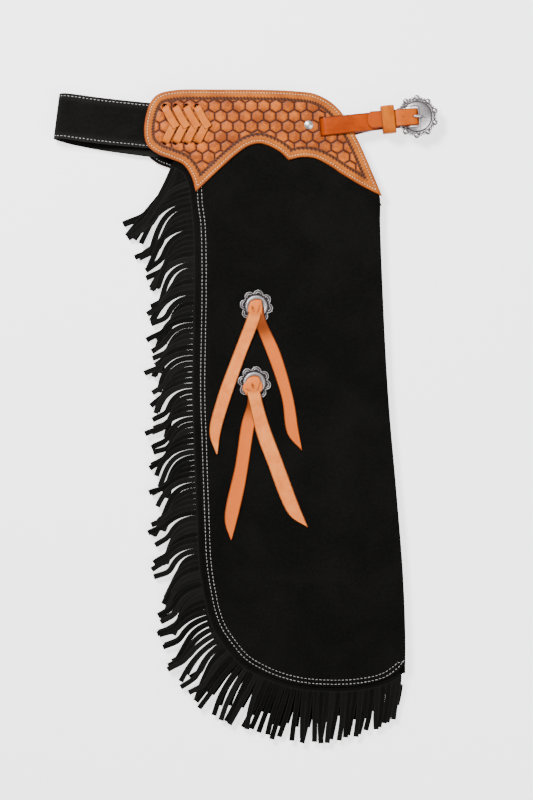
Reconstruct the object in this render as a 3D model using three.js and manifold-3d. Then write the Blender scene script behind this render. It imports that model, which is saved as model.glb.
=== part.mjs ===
// Western chaps: a pair of fringed leather chaps, folded in half at the back belt and lying flat.
// Millimetres. X runs along the waist from the back belt to the buckle, Y up to the waist, Z up from
// the floor. Both legs are drawn from the plane where they meet, one above it and its mirror below.

import * as THREE from 'three';
import { mergeVertices } from 'three/addons/utils/BufferGeometryUtils.js';
import Module from 'manifold-3d';

const wasm = await Module();
wasm.setup();

// Leathers and gaps
const clearance = 0.3;
const faceGap = 0.2;
const suede = 1.4;
const yokeLeather = 2.2;
const strapLeather = 2.2;
const beltLeather = 2.0;
const thongLeather = 1.2;

// Yoke and leg, seen from above
const yokeLength = 273;
const yokeHeight = 122.4;
const legInset = 58;
const legWidth = 212.8;
const legLength = 563.7;
const backingOverlap = 8;
const backingFoot = 0.96;
const flapWidth = 118;
const flapRise = 70;
const flapCurve = 1.6;
const underLegDrop = 10.5;

// Fringe
const fringeHeaderIn = 7;
const fringeHeaderOut = 7;
const fringeLength = 62;
const fringeWidth = 8.6;
const fringePitch = 20.5;

// Belt
const beltWidth = 51;
const beltLength = 170.4;
const beltLoopTop = 7.6;

// Straps, keeper and buckle
const frontStrapWidth = 21.3;
const billetWidth = 19.6;
const slotAcross = 0.742;
const slotDown = 0.352;
const slotLength = 8;
const strapRun = 110.5;
const strapRise = 12;
const billetReach = 57;
const billetTipRadius = 14;
const keeperWidth = 14.5;
const keeperWall = 1.7;
const buckleRadius = 21.6;
const berryRadius = 2.9;
const berryCount = 10;
const berrySides = 8;
const barRadius = 0.9;
const tongueRadius = 1.0;
const windowWidth = 17.5;
const windowMargin = 1.3;

// Conchos, ties, laces and spot
const conchoRadius = 19.5;
const conchoScallops = 8;
const conchoAcross = 0.47;
const upperConchoDown = 1.038;
const lowerConchoDown = 1.754;
const slotSpacing = 9;
const thongWidth = 13;
const tieLegWidth = 6;
const laceWidth = 7.6;
const laceHole = 4.6;
const laceCount = 4;
const lacePitch = 12.3;
const laceAcross = 0.086;
const laceTop = 0.163;
const laceBottom = 0.495;
const laceReach = 11.8;
const spotRadius = 4.9;
const postRadius = 1.5;

// Heights of each layer's inner face above the plane between the legs
const thongBackZ = faceGap;
const beltZ = thongBackZ + thongLeather + clearance;
const panelZ = beltZ + beltLeather + clearance;
const yokeZ = panelZ + suede + clearance;
const strapZ = yokeZ + yokeLeather + clearance;
const midHeight = strapZ + strapLeather;
const fringeZ = panelZ - clearance - suede;

// Outlines, as shares of the yoke's and the leg's sizes
const yokeRows = [
  { across: 0.217, down: 0.958, corner: true },
  { across: 0.197, down: 0.808 },
  { across: 0.162, down: 0.701 },
  { across: 0.111, down: 0.650 },
  { across: 0.052, down: 0.596 },
  { across: 0.010, down: 0.509 },
  { across: 0.000, down: 0.352 },
  { across: 0.025, down: 0.126 },
  { across: 0.055, down: 0.048 },
  { across: 0.120, down: 0.008 },
  { across: 0.305, down: 0.000 },
  { across: 0.629, down: 0.015 },
  { across: 0.726, down: 0.048 },
  { across: 0.809, down: 0.164 },
  { across: 0.886, down: 0.423 },
  { across: 0.960, down: 0.784 },
  { across: 1.000, down: 1.000, corner: true },
  { across: 0.916, down: 0.906 },
  { across: 0.832, down: 0.793 },
  { across: 0.766, down: 0.696 },
  { across: 0.714, down: 0.643 },
  { across: 0.659, down: 0.635 },
  { across: 0.608, down: 0.662, corner: true },
  { across: 0.566, down: 0.577 },
  { across: 0.490, down: 0.506 },
  { across: 0.440, down: 0.527 },
  { across: 0.383, down: 0.615 },
  { across: 0.311, down: 0.760 },
];
const backingTop = { first: 2, last: 15, steps: 24 };
const sideRows = [
  { across: 0.000, down: 0.000 },
  { across: 0.019, down: 0.055 },
  { across: 0.026, down: 0.171 },
  { across: 0.018, down: 0.402 },
  { across: 0.026, down: 0.496 },
  { across: 0.041, down: 0.657 },
  { across: 0.054, down: 0.755 },
  { across: 0.085, down: 0.824 },
  { across: 0.119, down: 0.871 },
  { across: 0.178, down: 0.909 },
];
const hemRows = [
  { across: 0.178, down: 0.909 },
  { across: 0.278, down: 0.951 },
  { across: 0.397, down: 0.975 },
  { across: 0.525, down: 0.992 },
  { across: 0.672, down: 0.999 },
  { across: 0.789, down: 1.000 },
  { across: 0.917, down: 0.996 },
  { across: 1.036, down: 0.984 },
  { across: 1.105, down: 0.969 },
  { across: 1.138, down: 0.954 },
];
const foldRows = [
  { across: 1.000, down: 0.000 },
  { across: 1.002, down: 0.057 },
  { across: 1.029, down: 0.301 },
  { across: 1.052, down: 0.439 },
  { across: 1.089, down: 0.598 },
  { across: 1.125, down: 0.769 },
  { across: 1.138, down: 0.894 },
  { across: 1.138, down: 0.954 },
];

// Materials
const material = (name, color, roughness, metalness = 0) => new THREE.MeshStandardMaterial({
  name, color, roughness, metalness,
});
const blackSuede = material('black_suede', 0x161412, 0.95);
const tooledLeather = material('tooled_leather', 0xd9945a, 0.5);
const bridleLeather = material('bridle_leather', 0xc4631f, 0.35);
const billetLeather = material('billet_leather', 0xd77d46, 0.45);
const latigo = material('latigo', 0xe6a278, 0.6);
const silver = material('antiqued_silver', 0xa09a9c, 0.35, 1);

// Points and curves in plan
const onYoke = (row) => new THREE.Vector2(row.across * yokeLength, -row.down * yokeHeight);
const onLeg = (row) => new THREE.Vector2(
  legInset + row.across * legWidth,
  -yokeHeight - row.down * legLength,
);

function smooth(points, steps) {
  const curve = new THREE.CatmullRomCurve3(points.map((p) => new THREE.Vector3(p.x, p.y, 0)));
  curve.curveType = 'centripetal';
  return curve.getSpacedPoints(steps).map((p) => new THREE.Vector2(p.x, p.y));
}

function outlineOf(rows, place, stepLength) {
  const corners = rows.map((row, i) => (row.corner ? i : -1)).filter((i) => i >= 0);
  const outline = [];
  corners.forEach((start, k) => {
    const end = k + 1 < corners.length ? corners[k + 1] : rows.length + corners[0];
    const span = [];
    for (let i = start; i <= end; i += 1) {
      span.push(place(rows[i % rows.length]));
    }
    const length = span.slice(1).reduce((sum, p, i) => sum + p.distanceTo(span[i]), 0);
    outline.push(...smooth(span, Math.max(2, Math.round(length / stepLength))).slice(0, -1));
  });
  return outline;
}

// Closed solids
function bare(geometry) {
  const copy = geometry.clone();
  copy.deleteAttribute('normal');
  copy.deleteAttribute('uv');
  return mergeVertices(copy, 1e-4);
}

function solidOf(geometry) {
  const shape = bare(geometry);
  return new wasm.Manifold(new wasm.Mesh({
    numProp: 3,
    vertProperties: new Float32Array(shape.attributes.position.array),
    triVerts: new Uint32Array(shape.index.array),
  }));
}

function geometryOf(solid) {
  const mesh = solid.getMesh();
  const geometry = new THREE.BufferGeometry();
  geometry.setAttribute('position', new THREE.BufferAttribute(new Float32Array(mesh.vertProperties), 3));
  geometry.setIndex(new THREE.BufferAttribute(new Uint32Array(mesh.triVerts), 1));
  return geometry;
}

const join = (...parts) => geometryOf(parts.map(solidOf).reduce((sum, part) => sum.add(part)));
const cut = (body, ...tools) => geometryOf(
  tools.map(solidOf).reduce((rest, tool) => rest.subtract(tool), solidOf(body)),
);

function prism(points, bottom, top) {
  const shape = new THREE.Shape(points);
  const geometry = new THREE.ExtrudeGeometry(shape, { depth: top - bottom, bevelEnabled: false });
  return geometry.translate(0, 0, bottom);
}

function block(width, depth, bottom, top, x, y, angle = 0) {
  const geometry = new THREE.BoxGeometry(width, depth, top - bottom);
  return geometry.rotateZ(angle).translate(x, y, (top + bottom) / 2);
}

function rod(radius, bottom, top, x, y, sides = 8) {
  const geometry = new THREE.CylinderGeometry(radius, radius, top - bottom, sides);
  return geometry.rotateX(Math.PI / 2).translate(x, y, (top + bottom) / 2);
}

// A sheet between two grids of points, each a list of rows, closed along its four edges
function sheet(upper, lower) {
  const rows = upper.length;
  const columns = upper[0].length;
  const positions = [...upper.flat(), ...lower.flat()].flatMap((p) => [p.x, p.y, p.z]);
  const at = (side, i, j) => side * rows * columns + i * columns + j;
  const index = [];
  const quad = (a, b, c, d) => index.push(a, b, c, a, c, d);
  for (let i = 0; i + 1 < rows; i += 1) {
    for (let j = 0; j + 1 < columns; j += 1) {
      quad(at(0, i, j), at(0, i + 1, j), at(0, i + 1, j + 1), at(0, i, j + 1));
      quad(at(1, i, j), at(1, i, j + 1), at(1, i + 1, j + 1), at(1, i + 1, j));
    }
    quad(at(0, i, 0), at(1, i, 0), at(1, i + 1, 0), at(0, i + 1, 0));
    quad(at(0, i + 1, columns - 1), at(1, i + 1, columns - 1), at(1, i, columns - 1), at(0, i, columns - 1));
  }
  for (let j = 0; j + 1 < columns; j += 1) {
    quad(at(0, 0, j + 1), at(1, 0, j + 1), at(1, 0, j), at(0, 0, j));
    quad(at(0, rows - 1, j), at(1, rows - 1, j), at(1, rows - 1, j + 1), at(0, rows - 1, j + 1));
  }
  const geometry = new THREE.BufferGeometry();
  geometry.setAttribute('position', new THREE.Float32BufferAttribute(positions, 3));
  geometry.setIndex(index);
  return geometry;
}

// A flat strap through stations that give its middle, its turn in plan and any narrowing
function strap(stations, width, thickness) {
  const upper = [];
  const lower = [];
  stations.forEach((station, i) => {
    const before = stations[Math.max(0, i - 1)].middle;
    const after = stations[Math.min(stations.length - 1, i + 1)].middle;
    const along = after.clone().sub(before).normalize();
    const turn = station.turn ?? Math.atan2(along.y, along.x);
    const across = new THREE.Vector3(-Math.sin(turn), Math.cos(turn), 0);
    const rise = new THREE.Vector3().crossVectors(along, across).normalize();
    const half = (width * (station.narrow ?? 1)) / 2;
    const edge = (side, face) => station.middle.clone()
      .addScaledVector(across, side * half)
      .addScaledVector(rise, (face * thickness) / 2);
    upper.push([edge(-1, 1), edge(1, 1)]);
    lower.push([edge(-1, -1), edge(1, -1)]);
  });
  return sheet(upper, lower);
}

// Leg panel: the yoke's backing, the front, the fold and the plain flap behind it, in one piece
function coons(u, v, left, right, top, bottom) {
  const at = (curve, t) => curve[Math.round(t * (curve.length - 1))];
  const mix = (a, b, t) => a.clone().lerp(b, t);
  const ruled = mix(at(left, v), at(right, v), u).add(mix(at(top, u), at(bottom, u), v));
  return ruled.sub(mix(mix(left[0], right[0], u), mix(left.at(-1), right.at(-1), u), v));
}

const legRowCount = 10;
const legColumnCount = 5;
const foldSteps = 5;
const flapSteps = 2;
const sideCurve = smooth(sideRows.map(onLeg), legRowCount);
const foldCurve = smooth(foldRows.map(onLeg), legRowCount);
const hemCurve = smooth(hemRows.map(onLeg), legColumnCount);
const legTopCurve = smooth([sideCurve[0], foldCurve[0]], legColumnCount);
const foldRadius = (panelZ + suede - faceGap) / 2;

function panelGeometry() {
  const upper = [];
  const lower = [];
  for (let i = 0; i <= legRowCount; i += 1) {
    const v = i / legRowCount;
    const outer = [];
    const inner = [];
    const foldEdge = foldCurve[i].clone();
    foldEdge.x -= foldRadius;
    for (let j = 0; j <= legColumnCount; j += 1) {
      const share = j / legColumnCount;
      const p = coons(share, v, sideCurve, foldCurve, legTopCurve, hemCurve);
      p.x -= foldRadius * share;
      outer.push(new THREE.Vector3(p.x, p.y, panelZ + suede));
      inner.push(new THREE.Vector3(p.x, p.y, panelZ));
    }
    for (let j = 1; j < foldSteps; j += 1) {
      const angle = Math.PI / 2 - (Math.PI * j) / foldSteps;
      const arcPoint = (radius) => new THREE.Vector3(
        foldEdge.x + radius * Math.cos(angle),
        foldEdge.y,
        faceGap + foldRadius + radius * Math.sin(angle),
      );
      outer.push(arcPoint(foldRadius));
      inner.push(arcPoint(foldRadius - suede));
    }
    for (let j = 0; j <= flapSteps; j += 1) {
      const share = j / flapSteps;
      const rise = flapRise * v * share ** flapCurve;
      outer.push(new THREE.Vector3(foldEdge.x - flapWidth * share, foldEdge.y + rise, faceGap));
      inner.push(new THREE.Vector3(foldEdge.x - flapWidth * share, foldEdge.y + rise, faceGap + suede));
    }
    upper.push(outer);
    lower.push(inner);
  }
  const leg = sheet(upper, lower);
  const top = yokeOutlineRows(backingTop.first, backingTop.last);
  const foldInset = foldCurve[0].x - foldRadius;
  const overlapY = -yokeHeight - backingOverlap;
  const backing = prism([
    ...top,
    new THREE.Vector2(foldInset, -yokeHeight * backingFoot),
    new THREE.Vector2(foldInset, overlapY),
    new THREE.Vector2(sideCurve[0].x + suede, overlapY),
    new THREE.Vector2(sideCurve[0].x, -yokeHeight),
    onYoke(yokeRows[1]),
  ], panelZ, panelZ + suede);
  return join(leg, backing);
}

function yokeOutlineRows(first, last) {
  const span = yokeRows.slice(first, last + 1).map(onYoke);
  return smooth(span, backingTop.steps);
}

// Places of what goes through the yoke and the panel
const laces = Array.from({ length: laceCount }, (unused, i) => ({
  x: yokeLength * laceAcross + i * lacePitch,
  top: -yokeHeight * laceTop,
  bottom: -yokeHeight * laceBottom,
}));
const spotPlace = onYoke({ across: 0.6925, down: 0.333 });
const slotPlace = onYoke({ across: slotAcross, down: slotDown });
const strapAngle = Math.atan2(strapRise, strapRun);
const conchos = [upperConchoDown, lowerConchoDown].map((down, i) => {
  const place = onYoke({ across: conchoAcross, down: 1 + down });
  place.x -= i * clearance;
  return place;
});

function laceHoles(bottom, top, growth) {
  return laces.flatMap((lace) => [lace.top, lace.bottom].map((y) => (
    block(laceHole + growth, thongLeather * 2 + growth, bottom, top, lace.x, y)
  )));
}

const holeReach = 1;
const slotCutter = (bottom, top) => block(
  slotLength, frontStrapWidth + 2 * clearance, bottom, top, slotPlace.x, slotPlace.y, strapAngle,
);
const spotCutter = (bottom, top) => rod(postRadius + clearance, bottom, top, spotPlace.x, spotPlace.y);
const tieSlots = (bottom, top, growth) => conchos.flatMap((place) => [-1, 1].map((side) => block(
  tieLegWidth + growth, thongLeather + growth, bottom, top, place.x, place.y + (side * slotSpacing) / 2,
)));

// Yoke: plain here, with its lace holes, strap slot and hole for the spot
const outlineStep = 0.044;
const yokeOutline = outlineOf(yokeRows, onYoke, yokeLength * outlineStep);
const yokeTop = yokeZ + yokeLeather;

function yokeGeometry() {
  const plate = prism(yokeOutline, yokeZ, yokeTop);
  const bottom = yokeZ - holeReach;
  const top = yokeTop + holeReach;
  const holes = laceHoles(bottom, top, clearance * 2);
  return cut(plate, slotCutter(bottom, top), spotCutter(bottom, top), ...holes);
}

function cutPanelGeometry() {
  const bottom = panelZ - clearance;
  const top = panelZ + suede + clearance;
  return cut(
    panelGeometry(),
    slotCutter(bottom, top),
    spotCutter(bottom, top),
    ...laceHoles(bottom, top, clearance * 2),
    ...tieSlots(bottom, top, clearance * 2),
  );
}

// Fringe: strips fused to a header that is sewn under the edge of the panel
const fringeHeadRows = [
  { across: 0.120, down: 0.672 },
  { across: 0.164, down: 0.722 },
  { across: 0.198, down: 0.825 },
];
const fringeEnd = { across: 1.085, down: 0.974 };
const fringeDroop = (258 * Math.PI) / 180;
const fringeStations = 3;
const stripNarrow = [1, 0.95, 0.72, 0.6];
const fringeRoot = 3.5;
const fringeUneven = 0.05;
const fringeTurn = 1.1;
const headerSteps = 26;

function fringeEdge() {
  const points = [
    ...fringeHeadRows.map(onYoke),
    ...sideRows.slice(1).map(onLeg),
    ...hemRows.slice(1, -2).map(onLeg),
    onLeg(fringeEnd),
  ];
  const curve = new THREE.CatmullRomCurve3(points.map((p) => new THREE.Vector3(p.x, p.y, 0)));
  curve.curveType = 'centripetal';
  curve.arcLengthDivisions = 600;
  const place = (share) => {
    const point = curve.getPointAt(share);
    const tangent = curve.getTangentAt(share);
    return { point, outward: new THREE.Vector3(tangent.y, -tangent.x, 0) };
  };
  return { length: curve.getLength(), place };
}

// heightAt gives the strip's rise above the header for a share of its length
function fringeGeometry(heightAt) {
  const edge = fringeEdge();
  const inner = [];
  const outer = [];
  for (let i = 0; i <= headerSteps; i += 1) {
    const { point, outward } = edge.place(i / headerSteps);
    const offset = (distance) => new THREE.Vector2(
      point.x + outward.x * distance,
      point.y + outward.y * distance,
    );
    inner.push(offset(-fringeHeaderIn));
    outer.push(offset(fringeHeaderOut));
  }
  const header = prism([...outer, ...inner.reverse()], fringeZ, fringeZ + suede);
  const strips = [];
  const count = Math.floor(edge.length / fringePitch);
  for (let i = 0; i < count; i += 1) {
    const { point, outward } = edge.place((i + 0.5) / count);
    const start = Math.atan2(outward.y, outward.x);
    const heading = start < 0 ? start + 2 * Math.PI : start;
    const length = fringeLength * (1 - fringeUneven * Math.sin(i * 2.4));
    const middle = point.clone().addScaledVector(outward, fringeHeaderOut - fringeRoot);
    const stations = [];
    for (let k = 0; k <= fringeStations; k += 1) {
      const share = k / fringeStations;
      const height = fringeZ + suede / 2 + heightAt(share);
      stations.push({
        middle: new THREE.Vector3(middle.x, middle.y, height),
        narrow: stripNarrow[k],
      });
      const turned = Math.min(1, fringeTurn * (share + 0.5 / fringeStations));
      const turn = heading + (fringeDroop - heading) * turned;
      middle.x += (Math.cos(turn) * length) / fringeStations;
      middle.y += (Math.sin(turn) * length) / fringeStations;
    }
    strips.push(strap(stations, fringeWidth, suede));
  }
  return join(header, ...strips);
}

// The upper leg's strips lie down over the lower leg's, which reach the floor at once
const upperFringeDrop = -8.2;
const lowerFringeDrop = midHeight - suede - fringeZ;
const upperStrips = (share) => upperFringeDrop * share;
const lowerStrips = (share) => lowerFringeDrop * Math.sin((Math.PI / 2) * Math.min(1, share * 1.5));

// Laces: a chevron on the yoke, a leg through each hole and a run behind the belt
function laceGeometry(lace) {
  const frontZ = strapZ + thongLeather / 2;
  const backZ = thongBackZ + thongLeather / 2;
  const point = (x, y, z) => ({ middle: new THREE.Vector3(x, y, z) });
  const middleY = (lace.top + lace.bottom) / 2;
  const tip = point(lace.x + laceReach, middleY, frontZ);
  const upper = strap([point(lace.x, lace.top, frontZ), tip], laceWidth, thongLeather);
  const lower = strap([tip, point(lace.x, lace.bottom, frontZ)], laceWidth, thongLeather);
  const back = strap(
    [point(lace.x, lace.top, backZ), point(lace.x, lace.bottom, backZ)],
    laceHole,
    thongLeather,
  );
  const legs = [lace.top, lace.bottom].map((y) => (
    block(laceHole, thongLeather * 2, thongBackZ, strapZ + thongLeather, lace.x, y)
  ));
  return join(upper, lower, back, ...legs);
}

// Round castings, drawn as rings of shares of a radius with their heights
function casting(rows, count, reachAt) {
  const positions = [];
  const ringStart = rows.map((row) => {
    const start = positions.length / 3;
    const points = row.reach === 0 ? 1 : count;
    for (let k = 0; k < points; k += 1) {
      const angle = (2 * Math.PI * k) / count;
      const reach = row.reach * (row.scalloped ? reachAt(k) : reachAt(null));
      positions.push(Math.cos(angle) * reach, Math.sin(angle) * reach, row.height);
    }
    return start;
  });
  const index = [];
  for (let i = 0; i + 1 < rows.length; i += 1) {
    for (let k = 0; k < count; k += 1) {
      const next = (k + 1) % count;
      const a = ringStart[i];
      const b = ringStart[i + 1];
      if (rows[i].reach === 0) {
        index.push(a, b + next, b + k);
      } else if (rows[i + 1].reach === 0) {
        index.push(a + k, a + next, b);
      } else {
        index.push(a + k, a + next, b + next, a + k, b + next, b + k);
      }
    }
  }
  const geometry = new THREE.BufferGeometry();
  geometry.setAttribute('position', new THREE.Float32BufferAttribute(positions, 3));
  geometry.setIndex(index);
  return geometry;
}

const conchoRise = 2.6;
const conchoRows = [
  { reach: 0, height: 0 },
  { reach: 1, height: 0, scalloped: true },
  { reach: 1, height: 1.0, scalloped: true },
  { reach: 0.74, height: 1.3 },
  { reach: 0.64, height: conchoRise },
  { reach: 0.52, height: 2.3 },
  { reach: 0.45, height: 1.5 },
  { reach: 0, height: 1.5 },
];
const conchoZ = panelZ + suede + clearance;
const scallopPoints = 3;
const scallopNotch = 0.91;

function conchoGeometry(place) {
  const count = conchoScallops * scallopPoints;
  const reachAt = (k) => conchoRadius * (k !== null && k % scallopPoints === 0 ? scallopNotch : 1);
  const disc = casting(conchoRows, count, reachAt).translate(place.x, place.y, conchoZ);
  return cut(disc, ...tieSlots(conchoZ - holeReach, conchoZ + conchoRise + holeReach, clearance * 2));
}

// Ties: a knot on the concho, legs through its slots and the panel, and two tails
const tailLength = 170;
const tieTails = [
  {
    knot: { across: -0.067, down: 0.036, width: 0.872, height: 1.051 },
    tails: [
      [
        { across: -0.016, down: 0.065 },
        { across: -0.070, down: 0.200 },
        { across: -0.130, down: 0.370 },
        { across: -0.224, down: 0.626 },
        { across: -0.286, down: 0.865 },
        { across: -0.278, down: 0.998, tip: true },
      ],
      [
        { across: 0.010, down: 0.078 },
        { across: 0.072, down: 0.250 },
        { across: 0.160, down: 0.512 },
        { across: 0.204, down: 0.626 },
        { across: 0.243, down: 0.860 },
        { across: 0.298, down: 0.970, tip: true },
      ],
    ],
  },
  {
    knot: { across: -0.087, down: 0.144, width: 1.077, height: 1.051 },
    tails: [
      [
        { across: 0.002, down: 0.084 },
        { across: 0.054, down: 0.300 },
        { across: 0.132, down: 0.510 },
        { across: 0.272, down: 0.862 },
        { across: 0.362, down: 0.972, tip: true },
      ],
      [
        { across: -0.010, down: 0.110 },
        { across: -0.039, down: 0.276 },
        { across: -0.088, down: 0.591 },
        { across: -0.159, down: 0.936 },
        { across: -0.156, down: 1.059, tip: true },
      ],
    ],
  },
];
const tipNarrow = 0.12;
const tailLanding = 1.7;
const rimReach = { level: 1.08, next: 1.3 };

function tieGeometry(place, shape) {
  const knotZ = conchoZ + conchoRise + clearance;
  const knotTop = knotZ + thongLeather + clearance;
  const backZ = panelZ - clearance - thongLeather;
  const knot = block(
    shape.knot.width * conchoRadius,
    shape.knot.height * conchoRadius,
    knotZ,
    knotTop,
    place.x + shape.knot.across * conchoRadius,
    place.y - shape.knot.down * conchoRadius,
  );
  const legs = [-1, 1].map((side) => block(
    tieLegWidth, thongLeather, backZ, knotTop - clearance, place.x, place.y + (side * slotSpacing) / 2,
  ));
  const back = block(tieLegWidth, slotSpacing + thongLeather, backZ, backZ + thongLeather, place.x, place.y);
  const onConcho = knotZ + thongLeather / 2;
  const onPanel = panelZ + suede + clearance + thongLeather / 2;
  const tails = shape.tails.map((rows) => {
    const path = [{ across: (shape.knot.across * conchoRadius) / tailLength, down: 0.02 }, ...rows];
    const stations = path.map((row) => {
      const reach = Math.hypot(row.across, row.down) * tailLength;
      const drop = THREE.MathUtils.smoothstep(reach, conchoRadius + thongLeather, conchoRadius * tailLanding);
      return {
        middle: new THREE.Vector3(
          place.x + row.across * tailLength,
          place.y - row.down * tailLength,
          THREE.MathUtils.lerp(onConcho, onPanel, drop),
        ),
        narrow: row.tip ? tipNarrow : 1,
      };
    });
    return strap(withRimStation(stations, place, onConcho), thongWidth, thongLeather);
  });
  return join(knot, ...legs, back, ...tails);
}

// The tail stays level until it is past the concho's rim
function withRimStation(stations, place, level) {
  const centre = new THREE.Vector3(place.x, place.y, level);
  const next = stations.findIndex((s) => s.middle.distanceTo(centre) > conchoRadius * rimReach.next);
  const before = stations[next - 1].middle;
  const after = stations[next].middle;
  const rim = before.clone();
  while (Math.hypot(rim.x - place.x, rim.y - place.y) < conchoRadius * rimReach.level) {
    rim.addScaledVector(after.clone().sub(before), 0.02);
  }
  rim.z = level;
  return [...stations.slice(0, next), { middle: rim }, ...stations.slice(next)];
}

// Spot: a faceted cap on the yoke with its post and a plain head behind the strap
const spotRise = 2.2;
const spotSides = 10;
const spotBackRadius = 3.2;
const spotBackThickness = 0.8;
const spotRows = [
  { reach: 0, height: 0 },
  { reach: 1, height: 0 },
  { reach: 0.9, height: spotRise * 0.55 },
  { reach: 0.5, height: spotRise },
  { reach: 0, height: spotRise * 0.96 },
];
const underStrapZ = panelZ - clearance - strapLeather;

function spotGeometry() {
  const back = underStrapZ - clearance - spotBackThickness;
  const capZ = yokeTop + clearance;
  const cap = casting(spotRows, spotSides, () => spotRadius).translate(spotPlace.x, spotPlace.y, capZ);
  const post = rod(postRadius, back, capZ + spotRise / 2, spotPlace.x, spotPlace.y);
  const head = rod(spotBackRadius, back, underStrapZ - clearance, spotPlace.x, spotPlace.y);
  return join(cap, post, head);
}

// Back belt: from the upper yoke round the loop at the back to the lower yoke
const beltStart = onYoke({ across: 0.259, down: 0.337 });
const beltClimb = 13.0;
const loopClimb = { at: 0.92, share: 0.83, rise: 2.125 };
const loopTwist = 0.6;
const beltTilt = { from: 0.3, to: 0.8, angle: 0.13 };
const beltRows = [
  { along: 0.000, climb: 0.00, spread: 0.00 },
  { along: 0.235, climb: 0.00, spread: 0.00 },
  { along: 0.378, climb: 0.02, spread: 0.00 },
  { along: 0.505, climb: 0.18, spread: 0.12 },
  { along: 0.640, climb: 0.36, spread: 0.45 },
  { along: 0.775, climb: 0.58, spread: 0.78 },
  { along: 0.877, climb: 0.77, spread: 0.95 },
];
const loopTurns = 8;

function beltGeometry() {
  const half = beltLeather / 2;
  const nearZ = beltZ + half;
  const upperZ = beltLoopTop - half;
  const lowerZ = half - midHeight;
  const radius = (upperZ - lowerZ) / 2;
  const centre = { along: beltLength - radius - half, z: (upperZ + lowerZ) / 2 };
  const climbAt = (along) => (
    beltClimb * (loopClimb.share + (along / beltLength - loopClimb.at) * loopClimb.rise)
  );
  const point = (along, climb, z, turn) => ({
    middle: new THREE.Vector3(beltStart.x - along, beltStart.y + climb, z),
    turn,
  });
  const tilt = (share) => (
    Math.PI - THREE.MathUtils.smoothstep(share, beltTilt.from, beltTilt.to) * beltTilt.angle
  );
  const upper = beltRows.map((row) => point(
    row.along * beltLength,
    row.climb * beltClimb,
    THREE.MathUtils.lerp(nearZ, upperZ, row.spread),
    tilt(row.along),
  ));
  const lower = beltRows.map((row) => point(
    row.along * beltLength,
    row.climb * beltClimb - underLegDrop * (1 - row.along ** 2),
    THREE.MathUtils.lerp(-nearZ, lowerZ, row.spread),
    tilt(row.along),
  ));
  const lastDrop = underLegDrop * (1 - beltRows.at(-1).along ** 2);
  const loop = [];
  for (let i = 0; i <= loopTurns; i += 1) {
    const angle = (Math.PI * i) / loopTurns;
    const along = centre.along + radius * Math.sin(angle);
    const climb = climbAt(along) - lastDrop * (i / loopTurns) * loopTwist;
    loop.push(point(along, climb, centre.z + radius * Math.cos(angle), tilt(1)));
  }
  const band = strap([...upper, ...loop, ...lower.reverse()], beltWidth, beltLeather);
  const reach = [beltZ - clearance, beltZ + beltLeather + clearance];
  const holes = laceHoles(...reach, clearance * 2);
  return cut(band, ...holes, ...holes.map(mirrored));
}

// The lower leg is the upper one turned over in the plane between them
function mirrored(geometry) {
  const copy = bare(geometry);
  copy.scale(1, 1, -1);
  const index = copy.index.array;
  for (let i = 0; i < index.length; i += 3) {
    [index[i + 1], index[i + 2]] = [index[i + 2], index[i + 1]];
  }
  return copy.translate(0, -underLegDrop, 0);
}

// Straps at the buckle, measured along the front strap from its slot
const bucklePlace = new THREE.Vector2(slotPlace.x + strapRun, slotPlace.y + strapRise);
const barBack = 12.1;
const barZ = 3.9;
const strapHalf = strapLeather / 2;
const loopRadius = barRadius + clearance + strapHalf;
const runZ = barZ + loopRadius;
const barAlong = Math.hypot(strapRun, strapRise) - barBack;
const returnLength = 28;
const tongueRoom = 1.5;
const slotStations = [
  { along: -25, height: 0 },
  { along: -5, height: 0 },
  { along: -3, height: 0.03 },
  { along: -1.2, height: 0.24 },
  { along: 1.2, height: 0.76 },
  { along: 3, height: 0.97 },
  { along: 5, height: 1 },
];

function frontStrapGeometry() {
  const inside = underStrapZ + strapHalf;
  const outside = strapZ + strapHalf;
  const point = (along, z) => ({
    middle: new THREE.Vector3(
      slotPlace.x + along * Math.cos(strapAngle),
      slotPlace.y + along * Math.sin(strapAngle),
      z,
    ),
    turn: strapAngle,
  });
  const start = slotStations.map((row) => (
    point(row.along, THREE.MathUtils.lerp(inside, outside, row.height))
  ));
  const slope = [
    { share: 0.35, fall: 0 },
    { share: 0.45, fall: 0.22 },
    { share: 0.55, fall: 0.64 },
    { share: 0.63, fall: 0.93 },
    { share: 0.69, fall: 1 },
  ].map((row) => point(row.share * barAlong, THREE.MathUtils.lerp(outside, runZ, row.fall)));
  const turn = [];
  const steps = 6;
  for (let i = 0; i <= steps; i += 1) {
    const angle = Math.PI / 2 - (Math.PI * i) / steps;
    turn.push(point(barAlong + loopRadius * Math.cos(angle), barZ + loopRadius * Math.sin(angle)));
  }
  const end = point(barAlong - returnLength, barZ - loopRadius);
  const band = strap([...start, ...slope, ...turn, end], frontStrapWidth, strapLeather);
  const hole = spotCutter(underStrapZ - holeReach, underStrapZ + strapLeather + holeReach / 2);
  const tongueSlot = block(
    (loopRadius + strapLeather) * 2 + tongueRoom * 2,
    (tongueRadius + 0.5 * tongueRoom) * 2,
    barZ - loopRadius * 2,
    barZ + loopRadius * 2,
    slotPlace.x + barAlong * Math.cos(strapAngle),
    slotPlace.y + barAlong * Math.sin(strapAngle),
    strapAngle,
  );
  return cut(band, hole, tongueSlot);
}

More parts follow.
